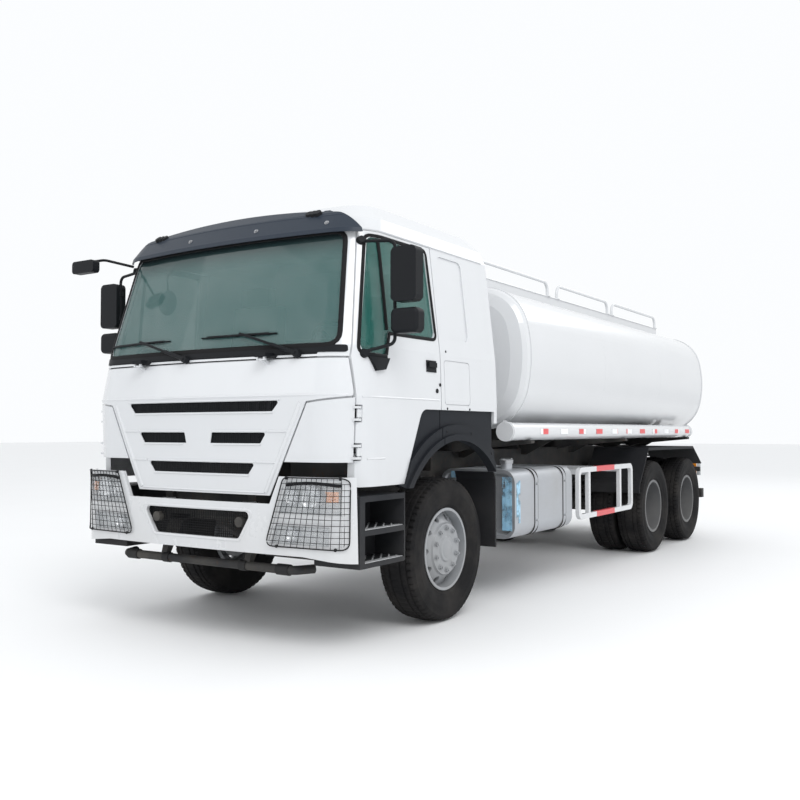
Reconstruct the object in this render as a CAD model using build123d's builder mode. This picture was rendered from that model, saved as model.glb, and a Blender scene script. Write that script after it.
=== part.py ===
"""Three-axle tanker truck with a tilting cab, an oval water tank and a 6x4 ladder chassis.

Millimetres, +Z up, front towards -Y, the truck's left side at +X. The origin is on the ground
under the middle of the truck. Lengths along the truck are measured from the front axle.
"""
import math
import os

from build123d import *

os.makedirs("parts", exist_ok=True)

# Overall layout
WHEELBASE = 4600.0
BOGIE_SPREAD = 1350.0
FRONT_OVERHANG = 1412.0
REAR_OVERHANG = 990.0
OVERALL_LENGTH = FRONT_OVERHANG + WHEELBASE + BOGIE_SPREAD + REAR_OVERHANG
FRONT_Y = FRONT_OVERHANG - OVERALL_LENGTH / 2
DRIVE_Y = FRONT_Y + WHEELBASE
TAIL_Y = DRIVE_Y + BOGIE_SPREAD
BOGIE_Y = (DRIVE_Y + TAIL_Y) / 2
END_Y = TAIL_Y + REAR_OVERHANG

# Tyres and rims, radii and half widths
TYRE_R = 522.0
TYRE_HALF = 150.0
WALL_R = 410.0
BEAD_R = 289.0
BEAD_TOP = 299.0
BEAD_HALF = 110.0
RIM_R = 298.0
RIM_HALF = 118.0
RIM_SEAT_R = 288.7
RIM_BORE_R = 264.0
FRONT_TRACK_X = 1015.0
REAR_TRACK_X = 915.0
TWIN_OFFSET = 167.0
HUB_Z = TYRE_R
HAND_HOLE_R = 24.0
HAND_HOLE_PCR = 228.0
HAND_HOLES = 10

# Axles and steering
RUNNING_GAP = 0.05
SEAT_GAP = 0.3
MOVING_GAP = 6.0
KINGPIN_X = 840.0
KINGPIN_R = 25.0
KINGPIN_BOSS_R = 48.0
BOSS_HALF = 60.0
STUB_R = 38.0
STUB_END = 60.0
SPINDLE_R = 55.0
SPINDLE_END = 90.0
AXLE_TUBE_R = 85.0
BANJO_R = 195.0
SHAFT_R = 50.0

# Ladder frame
RAIL_X = 425.0
RAIL_FLANGE = 80.0
RAIL_SHEET = 10.0
RAIL_BOTTOM = HUB_Z + 228.0
RAIL_HEIGHT = 290.0
RAIL_TOP = RAIL_BOTTOM + RAIL_HEIGHT
RAIL_FRONT_Y = FRONT_Y - 1240.0
RAIL_REAR_Y = TAIL_Y + 750.0

# Cab tilt axis, close behind the foot of the front mask
TILT_Y = FRONT_Y - 1280.0
TILT_Z = RAIL_TOP + 10.0
TILT_R = 20.0

# Cab shell: one row per level from the sill to the roof skin
# height, nose from the front axle, half width, bow radius, corner radius, rear from the front axle
CAB_LEVELS = (
    (950.0, -1358.0, 1215.0, 10000.0, 300.0, 640.0),
    (1600.0, -1385.0, 1222.0, 10000.0, 300.0, 640.0),
    (1925.0, -1345.0, 1210.0, 6500.0, 300.0, 640.0),
    (2700.0, -1120.0, 1120.0, 6000.0, 250.0, 640.0),
    (2800.0, -1030.0, 1075.0, 6000.0, 240.0, 630.0),
    (2920.0, -860.0, 960.0, 6000.0, 200.0, 560.0),
)
CAB_WALL = 45.0
CAB_FLOOR_Z = 1480.0
FOOTWELL_Z = 1240.0
FLOOR_SHEET = 40.0
ROOF_SEAM_Z = 2700.0
SEAM = 9.0
TUNNEL_HALF = 440.0
TUNNEL_TOP = 1680.0
TUNNEL_SHEET = 30.0
REAR_WALL_Y = FRONT_Y + CAB_LEVELS[0][5]

# Door outline and window, seen from the side
DOOR_FRONT = FRONT_Y - 1186.0
DOOR_REAR = FRONT_Y - 219.0
DOOR_TOP = ROOF_SEAM_Z - 9.0
DOOR_TOP_FRONT = FRONT_Y - 985.0
DOOR_SILL = 1030.0
DOOR_KNEE = FRONT_Y - 470.0
DOOR_TOE = FRONT_Y - 690.0
BELT_Z = 1850.0
WINDOW = (
    (FRONT_Y - 1140.0, 1880.0),
    (FRONT_Y - 945.0, 2650.0),
    (FRONT_Y - 290.0, 2650.0),
    (FRONT_Y - 262.0, 2035.0),
    (FRONT_Y - 850.0, 2030.0),
    (FRONT_Y - 875.0, 1875.0),
)
DOOR_HINGE = (1186.0, FRONT_Y - 1172.0)
GLASS = 6.0

# Windscreen opening, half widths and heights
SCREEN_FOOT = (1068.0, 1930.0)
SCREEN_HEAD = (975.0, 2672.0)

# Wheel arch
ARCH_R = 790.0
SHOULDER_R = 905.0
FLARE_X = 1250.0
FLARE_STEP = 18.0
ARCH_TOP = 1530.0
ARCH_REAR = FRONT_Y + 575.0

# Front mask (the grille lid), seen from the front
LID_TOP = 1838.0
LID_HALF = 1170.0
LID_BAND = 1600.0
LID_V_TOP = (905.0, 1567.0)
LID_V_FOOT = 612.0
LID_FOOT = 968.0
LID_SHEET = 6.0
LID_POCKET = 20.0
LID_GAP = 12.0
# Slots in the mask: top height, bottom height, half width at the top, half width at the bottom
MASK_SLOTS = (
    (1574.0, 1507.0, 706.0, 645.0),
    (1371.0, 1301.0, 594.0, 545.0),
    (1172.0, 1101.0, 497.0, 441.0),
)
SLOT_PAD_HALF = 120.0

# Bumper: height, nose from the front axle, half width
BUMPER_LEVELS = ((560.0, -1392.0, 1256.0), (1096.0, -1412.0, 1232.0))
BUMPER_BOW = 12000.0
BUMPER_CORNER = 200.0
BUMPER_SKIN = 25.0
BUMPER_REAR = FRONT_Y - 1235.0
BUMPER_TOP = 920.0
LAMP_TOP = 1080.0
LAMP_FOOT = 655.0

# Tank barrel
TANK_Z = 2015.0
TANK_HALF_W = 1220.0
TANK_HALF_H = 680.0
TANK_SIDE_R = 1200.0
TANK_TOP_R = 5000.0
TANK_CORNER_R = 430.0
TANK_FRONT = FRONT_Y + 1270.0
TANK_REAR = FRONT_Y + 6660.0
HEAD_STEPS = ((0.0, 0.0), (14.0, 32.0), (48.0, 58.0), (150.0, 80.0))
TANK_BOTTOM = TANK_Z - TANK_HALF_H
TANK_TOP = TANK_Z + TANK_HALF_H

# Subframe and outriggers
SUB_TOP = RAIL_TOP + 160.0
SADDLES = (1450.0, 2750.0, 3990.0, 5120.0, 6280.0)
SADDLE_HALF = 950.0
OUTRIGGERS = (1350.0, 3700.0, 6050.0)
HOSE_X = 1130.0
HOSE_Z = 1376.0
HOSE_R = 75.0
HOSE_FRONT = FRONT_Y + 970.0
HOSE_REAR = FRONT_Y + 6190.0

# Walkway: coaming box on the tank with hoops standing on it
CURB_X = 620.0
CURB_SHEET = 12.0
CURB_TOP = 2780.0
CURB_FRONT = FRONT_Y + 1310.0
CURB_REAR = FRONT_Y + 6600.0
HOOP_R = 16.0
HOOP_TOP = 2925.0
# Hoops: front and rear leg, from the front axle
HOOPS = ((1345.0, 2985.0), (3225.0, 4730.0), (4880.0, 6545.0))
NECK_R = 280.0
NECK_WALL = 8.0
NECK_Y = FRONT_Y + 3900.0
NECK_TOP = 2800.0
LID_COVER_R = 305.0


def keep(piece, name):
    """Label a finished piece and write it as its own file."""
    piece.part.label = name
    export_step(piece.part, f"parts/{name}.step")


def from_axle(distance):
    """Place along the truck at a distance behind the front axle."""
    return FRONT_Y + distance


def plan_outline(nose, half, bow, corner, rear):
    """Closed plan outline: bowed front, two round corners, straight sides and rear."""
    sine = (half - corner) / (bow - corner)
    cosine = math.sqrt(1 - sine * sine)
    bow_x, bow_y = bow * sine, nose + bow * (1 - cosine)
    side_y = bow_y + corner * cosine
    middle = (math.pi / 2 + math.asin(sine)) / 2
    mid_x = half - corner + corner * math.sin(middle)
    mid_y = side_y - corner * math.cos(middle)
    ThreePointArc((-bow_x, bow_y), (0, nose), (bow_x, bow_y))
    ThreePointArc((bow_x, bow_y), (mid_x, mid_y), (half, side_y))
    Polyline((half, side_y), (half, rear), (-half, rear), (-half, side_y))
    ThreePointArc((-half, side_y), (-mid_x, mid_y), (-bow_x, bow_y))


def cab_body(inset):
    """The cab's whole form, drawn in from its skin by inset, for cutting panels from."""
    top = CAB_LEVELS[-1][0]
    roof_start = CAB_LEVELS[-3][0]
    foot = CAB_LEVELS[0][0]
    with BuildPart() as body:
        for height, nose, half, bow, corner, rear in CAB_LEVELS:
            drop = inset * max(0.0, height - roof_start) / (top - roof_start)
            below = abs(inset) if height == foot else 0.0
            with BuildSketch(Plane.XY.offset(height - drop - below)):
                with BuildLine():
                    plan_outline(
                        FRONT_Y + nose + inset, half - inset, bow, corner - inset,
                        FRONT_Y + rear - inset,
                    )
                make_face()
        loft(ruled=True)
    return body.part


def bumper_body(inset):
    """The bumper's form, drawn in by inset, open behind."""
    with BuildPart() as body:
        for height, nose, half in BUMPER_LEVELS:
            with BuildSketch(Plane.XY.offset(height)):
                with BuildLine():
                    plan_outline(
                        FRONT_Y + nose + inset, half - inset, BUMPER_BOW,
                        BUMPER_CORNER - inset, BUMPER_REAR + BUMPER_CORNER + abs(inset),
                    )
                make_face()
        loft(ruled=True)
    return body.part


def layer(shape, outside, inside):
    """What lies between two insets of a form."""
    with BuildPart() as skin:
        add(shape(outside))
        add(shape(inside), mode=Mode.SUBTRACT)
    return skin.part


def bumper_layer(outside, inside):
    """A layer of the bumper's form, ending at the bumper's rear edge."""
    with BuildPart() as skin:
        add(layer(bumper_body, outside, inside))
        with Locations((0, BUMPER_REAR - 500, 800)):
            Box(3000, 1000, 1600, mode=Mode.INTERSECT)
    return skin.part


def side_region(points, reach=1400.0, radius=0.0):
    """A block whose outline is given from the side, reaching out to the left."""
    with BuildPart() as block:
        with BuildSketch(Plane.YZ) as outline:
            Polygon(*points, align=None)
            if radius:
                fillet(outline.vertices(), radius)
        extrude(amount=reach)
    return block.part


def front_region(points, radius=0.0, grow=0.0):
    """A block whose outline is given from the front, reaching from the nose to the doors."""
    with BuildPart() as block:
        with BuildSketch(Plane.XZ.offset(-from_axle(-700))) as outline:
            Polygon(*points, align=None)
            if radius:
                fillet(outline.vertices(), radius)
            if grow:
                offset(amount=grow)
        extrude(amount=1200.0)
    return block.part


def shared(first, second):
    """What two solids have in common."""
    with BuildPart() as overlap:
        add(first)
        add(second, mode=Mode.INTERSECT)
    return overlap.part


def mirrored(points):
    """Half an outline with its mirror image behind it, in order."""
    return tuple(points) + tuple((-x, z) for x, z in reversed(points))


def bar(x0, x1, y0, y1, z0, z1, mode=Mode.ADD):
    """A rectangular bar between two corners."""
    with Locations(((x0 + x1) / 2, (y0 + y1) / 2, (z0 + z1) / 2)):
        Box(abs(x1 - x0), abs(y1 - y0), abs(z1 - z0), mode=mode)


def rod(radius, points, bend):
    """A round rod along a bent path."""
    with BuildPart() as bent:
        with BuildLine() as path:
            FilletPolyline(*points, radius=bend)
        with BuildSketch(Plane(origin=path.line @ 0, z_dir=path.line % 0)):
            Circle(radius)
        sweep(path=path.line)
    return bent.part


def straight_rod(radius, start, end):
    """A straight round rod."""
    run = Vector(*end) - Vector(*start)
    with BuildPart() as stick:
        with BuildSketch(Plane(origin=start, z_dir=run)):
            Circle(radius)
        extrude(amount=run.length)
    return stick.part


def side_plate(x0, x1, points):
    """A plate between two distances from the middle, its outline given from the side."""
    with BuildPart() as plate:
        with BuildSketch(Plane.YZ.offset(x0)):
            Polygon(*points, align=None)
        extrude(amount=x1 - x0)
    return plate.part


def cross_plate(y0, y1, points):
    """A plate across the truck between two stations, its outline given from the front."""
    with BuildPart() as plate:
        with BuildSketch(Plane.XZ.offset(-y0)):
            Polygon(*points, align=None)
        extrude(amount=y0 - y1)
    return plate.part


def across(x, y, z):
    """A plane facing out along +X, for round parts on a wheel's axis."""
    return Plane(origin=(x, y, z), x_dir=(0, 1, 0), z_dir=(1, 0, 0))


def wheel_plane(x, y):
    """Section plane through a wheel's axis: local x runs outwards, local y is the radius."""
    return Plane(origin=(x, y, HUB_Z), x_dir=(1, 0, 0), z_dir=(0, -1, 0))


def tyre(x, y):
    """One tyre, turned from its section."""
    shoulder = (TYRE_HALF - 30.0, TYRE_R - 9.0)
    with BuildPart() as ring:
        with BuildSketch(wheel_plane(x, y)):
            with BuildLine():
                Polyline((-BEAD_HALF, BEAD_TOP), (-BEAD_HALF, BEAD_R), (BEAD_HALF, BEAD_R),
                         (BEAD_HALF, BEAD_TOP))
                ThreePointArc((BEAD_HALF, BEAD_TOP), (TYRE_HALF, WALL_R), shoulder)
                ThreePointArc(shoulder, (0, TYRE_R), (-shoulder[0], shoulder[1]))
                ThreePointArc((-shoulder[0], shoulder[1]), (-TYRE_HALF, WALL_R),
                              (-BEAD_HALF, BEAD_TOP))
            make_face()
        revolve(axis=Axis((x, y, HUB_Z), (1, 0, 0)))
    return ring.part


def turned(x, y, points):
    """A solid turned about a wheel's axis from (outwards, radius) points."""
    with BuildPart() as solid:
        with BuildSketch(wheel_plane(x, y)):
            Polygon(*points, align=None)
        revolve(axis=Axis((x, y, HUB_Z), (1, 0, 0)))
    return solid.part


def hand_holes(x, y, depth):
    """The round windows in a wheel disc, as the cores to cut away."""
    with BuildPart() as cores:
        with BuildSketch(across(x - depth / 2, y, HUB_Z)):
            with PolarLocations(HAND_HOLE_PCR, HAND_HOLES):
                Circle(HAND_HOLE_R)
        extrude(amount=depth)
    return cores.part


STUB_BORE = STUB_R + RUNNING_GAP
SPINDLE_BORE = SPINDLE_R + RUNNING_GAP
FRONT_DISC = (
    (-80.0, STUB_BORE), (-80.0, 205.0), (-20.0, 205.0), (-20.0, 120.0), (70.0, 120.0),
    (88.0, 178.0), (22.0, RIM_BORE_R), (-RIM_HALF, RIM_BORE_R + 6), (-RIM_HALF, RIM_R),
    (-RIM_HALF + 6, RIM_R), (-RIM_HALF + 6, RIM_SEAT_R), (RIM_HALF - 6, RIM_SEAT_R),
    (RIM_HALF - 6, RIM_R), (RIM_HALF, RIM_R), (RIM_HALF, RIM_BORE_R + 14),
    (40.0, RIM_BORE_R + 8), (102.0, 192.0), (118.0, 184.0), (118.0, 96.0), (128.0, 86.0),
    (128.0, 0.0), (STUB_END + 4, 0.0), (STUB_END + 4, STUB_BORE),
)
TWIN_OUT = TWIN_OFFSET + RIM_HALF
TWIN_IN = TWIN_OFFSET - RIM_HALF
TWIN_DISC = (
    (-275.0, SPINDLE_BORE), (-275.0, 205.0), (-90.0, 205.0), (-90.0, 120.0), (-12.0, 120.0),
    (-12.0, 190.0), (-60.0, RIM_BORE_R), (-TWIN_OUT, RIM_BORE_R + 6), (-TWIN_OUT, RIM_R),
    (-TWIN_OUT + 6, RIM_R), (-TWIN_OUT + 6, RIM_SEAT_R), (-TWIN_IN - 6, RIM_SEAT_R),
    (-TWIN_IN - 6, RIM_R), (-TWIN_IN, RIM_R), (-TWIN_IN, RIM_BORE_R + 14), (0.0, 196.0),
    (TWIN_IN, RIM_BORE_R + 14), (TWIN_IN, RIM_R), (TWIN_IN + 6, RIM_R),
    (TWIN_IN + 6, RIM_SEAT_R), (TWIN_OUT - 6, RIM_SEAT_R), (TWIN_OUT - 6, RIM_R),
    (TWIN_OUT, RIM_R), (TWIN_OUT, RIM_BORE_R + 6), (60.0, RIM_BORE_R), (12.0, 190.0),
    (12.0, 120.0), (118.0, 118.0), (132.0, 96.0), (132.0, 0.0), (SPINDLE_END + 5, 0.0),
    (SPINDLE_END + 5, SPINDLE_BORE),
)


def save_pair(left, base):
    """Write a left-hand piece and its mirror image."""
    with BuildPart() as right:
        mirror(left.part, about=Plane.YZ)
    keep(left, base + "_left")
    keep(right, base + "_right")


# Wheels: a tyre node and a rim node for each of the six wheel positions
with BuildPart() as tyre_front:
    add(tyre(FRONT_TRACK_X, FRONT_Y))
save_pair(tyre_front, "tyre_front")

with BuildPart() as rim_front:
    add(turned(FRONT_TRACK_X, FRONT_Y, FRONT_DISC))
    add(hand_holes(FRONT_TRACK_X + 60, FRONT_Y, 130.0), mode=Mode.SUBTRACT)
save_pair(rim_front, "rim_front")

for name, axle_y in (("drive", DRIVE_Y), ("tail", TAIL_Y)):
    with BuildPart() as twin_tyres:
        add(tyre(REAR_TRACK_X - TWIN_OFFSET, axle_y))
        add(tyre(REAR_TRACK_X + TWIN_OFFSET, axle_y))
    save_pair(twin_tyres, "tyres_" + name)
    with BuildPart() as twin_rims:
        add(turned(REAR_TRACK_X, axle_y, TWIN_DISC))
        add(hand_holes(REAR_TRACK_X, axle_y, 130.0), mode=Mode.SUBTRACT)
    save_pair(twin_rims, "rims_" + name)

# Steering knuckle: kingpin through the axle boss, two lugs, a block and the stub axle
LUG = 30.0
LUG_GAP = 2.0
BLOCK_X = KINGPIN_X + KINGPIN_BOSS_R + 4.0
BLOCK_END = FRONT_TRACK_X - 85.0
with BuildPart() as knuckle:
    reach = BOSS_HALF + LUG_GAP + LUG
    with Locations((KINGPIN_X, FRONT_Y, HUB_Z)):
        Cylinder(KINGPIN_R, 2 * reach)
    for side in (-1, 1):
        with Locations((KINGPIN_X, FRONT_Y, HUB_Z + side * (reach - LUG / 2))):
            Cylinder(KINGPIN_BOSS_R, LUG)
        bar(KINGPIN_X, BLOCK_X, FRONT_Y - 40, FRONT_Y + 40,
            HUB_Z + side * (reach - LUG), HUB_Z + side * reach)
    bar(BLOCK_X, BLOCK_END, FRONT_Y - 55, FRONT_Y + 55, HUB_Z - reach, HUB_Z + reach)
    with BuildSketch(across(BLOCK_END, FRONT_Y, HUB_Z)):
        Circle(STUB_R)
    extrude(amount=FRONT_TRACK_X + STUB_END - BLOCK_END)
save_pair(knuckle, "knuckle")

# Axles: dropped front beam between kingpin bosses, two drive axles joined by their shaft
with BuildPart() as axles:
    with BuildSketch(Plane.XZ.offset(-FRONT_Y)):
        with Locations((0, HUB_Z)):
            Polygon(
                *mirrored(((KINGPIN_X, -55), (740, -60), (560, -170))),
                *reversed(mirrored(((KINGPIN_X, 55), (700, 55), (520, -60)))),
                align=None,
            )
    extrude(amount=50, both=True)
    for side in (-1, 1):
        with BuildSketch(Plane.XZ.offset(-FRONT_Y + side * 50)):
            with Locations((0, HUB_Z - 115)):
                Rectangle(1020, 70)
        extrude(amount=-side * 32, mode=Mode.SUBTRACT)
        with Locations((side * KINGPIN_X, FRONT_Y, HUB_Z)):
            Cylinder(KINGPIN_BOSS_R, 2 * BOSS_HALF)
            Cylinder(KINGPIN_R + RUNNING_GAP, 2 * BOSS_HALF, mode=Mode.SUBTRACT)
    for axle_y in (DRIVE_Y, TAIL_Y):
        with BuildSketch(across(0, axle_y, HUB_Z)):
            Circle(AXLE_TUBE_R)
        extrude(amount=REAR_TRACK_X - 300, both=True)
        with BuildSketch(across(0, axle_y, HUB_Z)):
            Circle(SPINDLE_R)
        extrude(amount=REAR_TRACK_X + SPINDLE_END, both=True)
        with Locations((0, axle_y, HUB_Z)):
            Sphere(BANJO_R)
        with BuildSketch(Plane.XZ.offset(-axle_y)):
            with Locations((0, HUB_Z)):
                Circle(95)
        extrude(amount=300)
    with BuildSketch(Plane.XZ.offset(-DRIVE_Y)):
        with Locations((0, HUB_Z)):
            Circle(SHAFT_R)
    extrude(amount=-BOGIE_SPREAD)
    for shaft_y, shaft_z in ((from_axle(1350) + SEAT_GAP, 700.0), (DRIVE_Y - 290, HUB_Z + 20)):
        with BuildSketch(Plane.XZ.offset(-shaft_y)):
            with Locations((0, shaft_z)):
                Circle(SHAFT_R)
    loft()
keep(axles, "axles")

# Leaf springs: two packs on the front beam, two rocking packs on the bogie
with BuildPart() as leaf_springs:
    seat = HUB_Z - 60 + SEAT_GAP
    eye = RAIL_BOTTOM - 80
    with BuildSketch(Plane.YZ.offset(RAIL_X - RAIL_FLANGE)):
        with BuildLine():
            ThreePointArc((from_axle(-750), eye + 30), (from_axle(0), seat + 70),
                          (from_axle(750), eye + 30))
            Line((from_axle(750), eye + 30), (from_axle(750), eye))
            ThreePointArc((from_axle(750), eye), (from_axle(0), seat), (from_axle(-750), eye))
            Line((from_axle(-750), eye), (from_axle(-750), eye + 30))
        make_face()
    extrude(amount=RAIL_FLANGE)
    for end in (-735, 735):
        bar(RAIL_X - RAIL_FLANGE, RAIL_X, from_axle(end - 35), from_axle(end + 35),
            eye + 5, RAIL_BOTTOM)
    rest = HUB_Z + AXLE_TUBE_R + SEAT_GAP
    tip = BOGIE_SPREAD / 2 + 45
    with BuildSketch(Plane.YZ.offset(RAIL_X + 15)):
        with BuildLine():
            ThreePointArc((BOGIE_Y - tip, rest + 35), (BOGIE_Y, rest + 160),
                          (BOGIE_Y + tip, rest + 35))
            Line((BOGIE_Y + tip, rest + 35), (BOGIE_Y + tip, rest))
            ThreePointArc((BOGIE_Y + tip, rest), (BOGIE_Y, rest + 60), (BOGIE_Y - tip, rest))
            Line((BOGIE_Y - tip, rest), (BOGIE_Y - tip, rest + 35))
        make_face()
    extrude(amount=90)
    bar(RAIL_X, RAIL_X + 105, BOGIE_Y - 110, BOGIE_Y + 110, rest - 60, rest + 100)
    bar(RAIL_X, RAIL_X + 15, BOGIE_Y - 160, BOGIE_Y + 160, rest + 60, RAIL_TOP - 60)
    mirror(about=Plane.YZ)
keep(leaf_springs, "leaf_springs")

# Ladder frame: two channel rails, crossmembers, cab pivots and rests, front underrun tube
# Crossmembers: front and rear face from the front axle
CROSSMEMBERS = ((-1230.0, -1160.0), (1480.0, 1580.0), (2700.0, 2800.0), (3800.0, 3900.0),
                (5180.0, 5370.0), (6600.0, 6700.0))
UNDERRUN_R = 29.0
UNDERRUN_Z = 500.0
UNDERRUN_Y = from_axle(-1300)
UNDERRUN_HALF = 780.0
with BuildPart() as ladder_frame:
    with BuildSketch(Plane.XZ.offset(-RAIL_FRONT_Y)):
        with Locations((RAIL_X - RAIL_FLANGE / 2, RAIL_BOTTOM + RAIL_HEIGHT / 2)):
            Rectangle(RAIL_FLANGE, RAIL_HEIGHT)
        with Locations((RAIL_X - RAIL_FLANGE / 2 - RAIL_SHEET, RAIL_BOTTOM + RAIL_HEIGHT / 2)):
            Rectangle(RAIL_FLANGE, RAIL_HEIGHT - 2 * RAIL_SHEET, mode=Mode.SUBTRACT)
    extrude(amount=RAIL_FRONT_Y - RAIL_REAR_Y)
    for front, rear in CROSSMEMBERS:
        bar(0, RAIL_X - RAIL_SHEET, from_axle(front), from_axle(rear),
            RAIL_BOTTOM + 50, RAIL_TOP - 40)
    # cab pivot boss on a horn at the rail's front end
    bar(RAIL_X - 70, RAIL_X, RAIL_FRONT_Y - 20, RAIL_FRONT_Y + 120, RAIL_TOP - 120, RAIL_TOP)
    with BuildSketch(Plane.YZ.offset(RAIL_X - 70)):
        Polygon((TILT_Y, TILT_Z - 38), (RAIL_FRONT_Y - 20, RAIL_TOP - 120),
                (RAIL_FRONT_Y + 120, RAIL_TOP), (TILT_Y, TILT_Z + 38), align=None)
    extrude(amount=70)
    with BuildSketch(across(RAIL_X - 70, TILT_Y, TILT_Z)):
        Circle(38)
    extrude(amount=70)
    with BuildSketch(across(RAIL_X - 70, TILT_Y, TILT_Z)):
        Circle(TILT_R + RUNNING_GAP)
    extrude(amount=70, mode=Mode.SUBTRACT)
    # cab rest behind the engine
    rest_top = CAB_FLOOR_Z - FLOOR_SHEET - MOVING_GAP
    bar(RAIL_X - 30, RAIL_X, from_axle(450), from_axle(550), RAIL_TOP, rest_top - 40)
    bar(RAIL_X - 30, RAIL_X + 95, from_axle(450), from_axle(550), rest_top - 40, rest_top)
    # underrun tube hung from the rail
    with BuildLine() as tube_path:
        FilletPolyline((0, UNDERRUN_Y, UNDERRUN_Z), (UNDERRUN_HALF, UNDERRUN_Y, UNDERRUN_Z),
                       (UNDERRUN_HALF + 60, UNDERRUN_Y + 130, UNDERRUN_Z), radius=60)
    with BuildSketch(Plane.YZ.offset(0)):
        with Locations((UNDERRUN_Y, UNDERRUN_Z)):
            Circle(UNDERRUN_R)
    sweep(path=tube_path.line)
    with BuildSketch(Plane.YZ.offset(RAIL_X - 60)):
        Polygon((UNDERRUN_Y - 18, UNDERRUN_Z), (UNDERRUN_Y + 18, UNDERRUN_Z),
                (RAIL_FRONT_Y + 90, RAIL_BOTTOM), (RAIL_FRONT_Y, RAIL_BOTTOM),
                (RAIL_FRONT_Y - 25, RAIL_BOTTOM - 60), align=None)
    extrude(amount=50)
    mirror(about=Plane.YZ)
keep(ladder_frame, "ladder_frame")

# Engine with gearbox, one plain mass, and the radiator ahead of it
ENGINE_HALF = 330.0
with BuildPart() as engine_and_gearbox:
    with BuildSketch(Plane.YZ):
        Polygon((from_axle(-800), 800), (from_axle(-800), 1430), (from_axle(-740), 1490),
                (from_axle(480), 1490), (from_axle(540), 1400), (from_axle(540), 700),
                (from_axle(100), 640), (from_axle(-600), 640), align=None)
    extrude(amount=ENGINE_HALF, both=True)
    with BuildSketch(Plane.YZ):
        Polygon((from_axle(540), 620), (from_axle(540), 1150), (from_axle(900), 1000),
                (from_axle(1350), 900), (from_axle(1350), 620), align=None)
    extrude(amount=220, both=True)
    for side in (-1, 1):
        bar(side * ENGINE_HALF, side * (RAIL_X - RAIL_SHEET), from_axle(-460), from_axle(-340),
            RAIL_TOP - 150, RAIL_TOP - 60)
        bar(side * 220, side * (RAIL_X - RAIL_SHEET), from_axle(640), from_axle(740),
            RAIL_TOP - 150, RAIL_TOP - 60)
keep(engine_and_gearbox, "engine_and_gearbox")

with BuildPart() as radiator:
    bar(-335, 335, from_axle(-1120), from_axle(-1050), RAIL_BOTTOM + 10, 1550)
    for side in (-1, 1):
        bar(side * 335, side * 410, from_axle(-1110), from_axle(-1060), RAIL_TOP, RAIL_TOP + 25)
        bar(side * 335, side * 360, from_axle(-1130), from_axle(-1040), RAIL_TOP + 25, 1500)
    for step in range(12):
        bar(-300, 300, from_axle(-1126), from_axle(-1120), 800 + 60 * step, 812 + 60 * step)
keep(radiator, "radiator")

# Bumper: bowed skin with a top edge that drops between the lamps, a trapezium opening,
# lamp pockets at the corners and two brackets back to the rails
LAMP_OUTLINE = ((775.0, LAMP_TOP), (1180.0, LAMP_TOP), (1180.0, LAMP_FOOT), (625.0, LAMP_FOOT))
GUARD_OUTLINE = ((765.0, LAMP_TOP + 16), (1205.0, LAMP_TOP + 16), (1205.0, LAMP_FOOT - 4),
                 (612.0, LAMP_FOOT - 4))
BUMPER_DROP = ((745.0, 1130.0), (650.0, BUMPER_TOP))
with BuildPart() as bumper:
    add(bumper_layer(0.0, BUMPER_SKIN))
    add(front_region(mirrored(BUMPER_DROP)), mode=Mode.SUBTRACT)
    add(front_region(mirrored(((502, 862), (387, 683))), radius=30), mode=Mode.SUBTRACT)
    add(front_region(mirrored(((1300, 540), (1300, 562), (900, 600)))), mode=Mode.SUBTRACT)
    for side in (-1, 1):
        lamp_face = [(side * x, z) for x, z in LAMP_OUTLINE]
        add(front_region(lamp_face, radius=35), mode=Mode.SUBTRACT)
        bar(side * (RAIL_X - 75), side * (RAIL_X - 15), RAIL_FRONT_Y - 150, RAIL_FRONT_Y,
            RAIL_BOTTOM + 125, RAIL_BOTTOM + 165)
keep(bumper, "bumper")

# Headlamps fill the pockets in the bumper; tail lamps hang on the rear cross bar
TAIL_BAR_Y = RAIL_REAR_Y
TAIL_BAR_DEPTH = 40.0
with BuildPart() as lamps:
    for side in (-1, 1):
        lamp_face = [(side * x, z) for x, z in LAMP_OUTLINE]
        add(shared(bumper_layer(4.0, 60.0), front_region(lamp_face, radius=35)))
        bar(side * 930, side * 1160, TAIL_BAR_Y + TAIL_BAR_DEPTH,
            TAIL_BAR_Y + TAIL_BAR_DEPTH + 60, 770, 960)
keep(lamps, "lamps")

# Lamp guards: a bent rod frame with bars, standing just ahead of each lamp
GUARD_STAND = -16.0
GUARD_ROD = 8.0
GUARD_BARS_X = (820.0, 930.0, 1040.0, 1140.0)
GUARD_BARS_Z = (740.0, 830.0, 920.0, 1010.0)
GUARD_CLIPS = ((700.0, 651.0), (1120.0, 651.0))
with BuildPart() as lamp_guards:
    add(front_region(GUARD_OUTLINE, radius=45))
    add(front_region([(x - 10 if x > 1000 else x + 10, z - 10 if z > 1000 else z + 10)
                      for x, z in GUARD_OUTLINE], radius=37), mode=Mode.SUBTRACT)
    for bar_x in GUARD_BARS_X:
        bar(bar_x, bar_x + 6, from_axle(-1600), from_axle(-900), LAMP_FOOT, LAMP_TOP)
    for bar_z in GUARD_BARS_Z:
        lean = (LAMP_TOP - bar_z) / (LAMP_TOP - LAMP_FOOT)
        bar(768 - 150 * lean, 1203, from_axle(-1600), from_axle(-900), bar_z, bar_z + 6)
    add(bumper_layer(GUARD_STAND, GUARD_STAND + GUARD_ROD), mode=Mode.INTERSECT)
    for clip_x, clip_z in GUARD_CLIPS:
        add(shared(bumper_layer(GUARD_STAND + 1, -SEAT_GAP),
                   front_region(((clip_x, clip_z), (clip_x + 18, clip_z),
                                 (clip_x + 18, clip_z + 10), (clip_x, clip_z + 10)))))
    mirror(about=Plane.YZ)
keep(lamp_guards, "lamp_guards")

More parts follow.
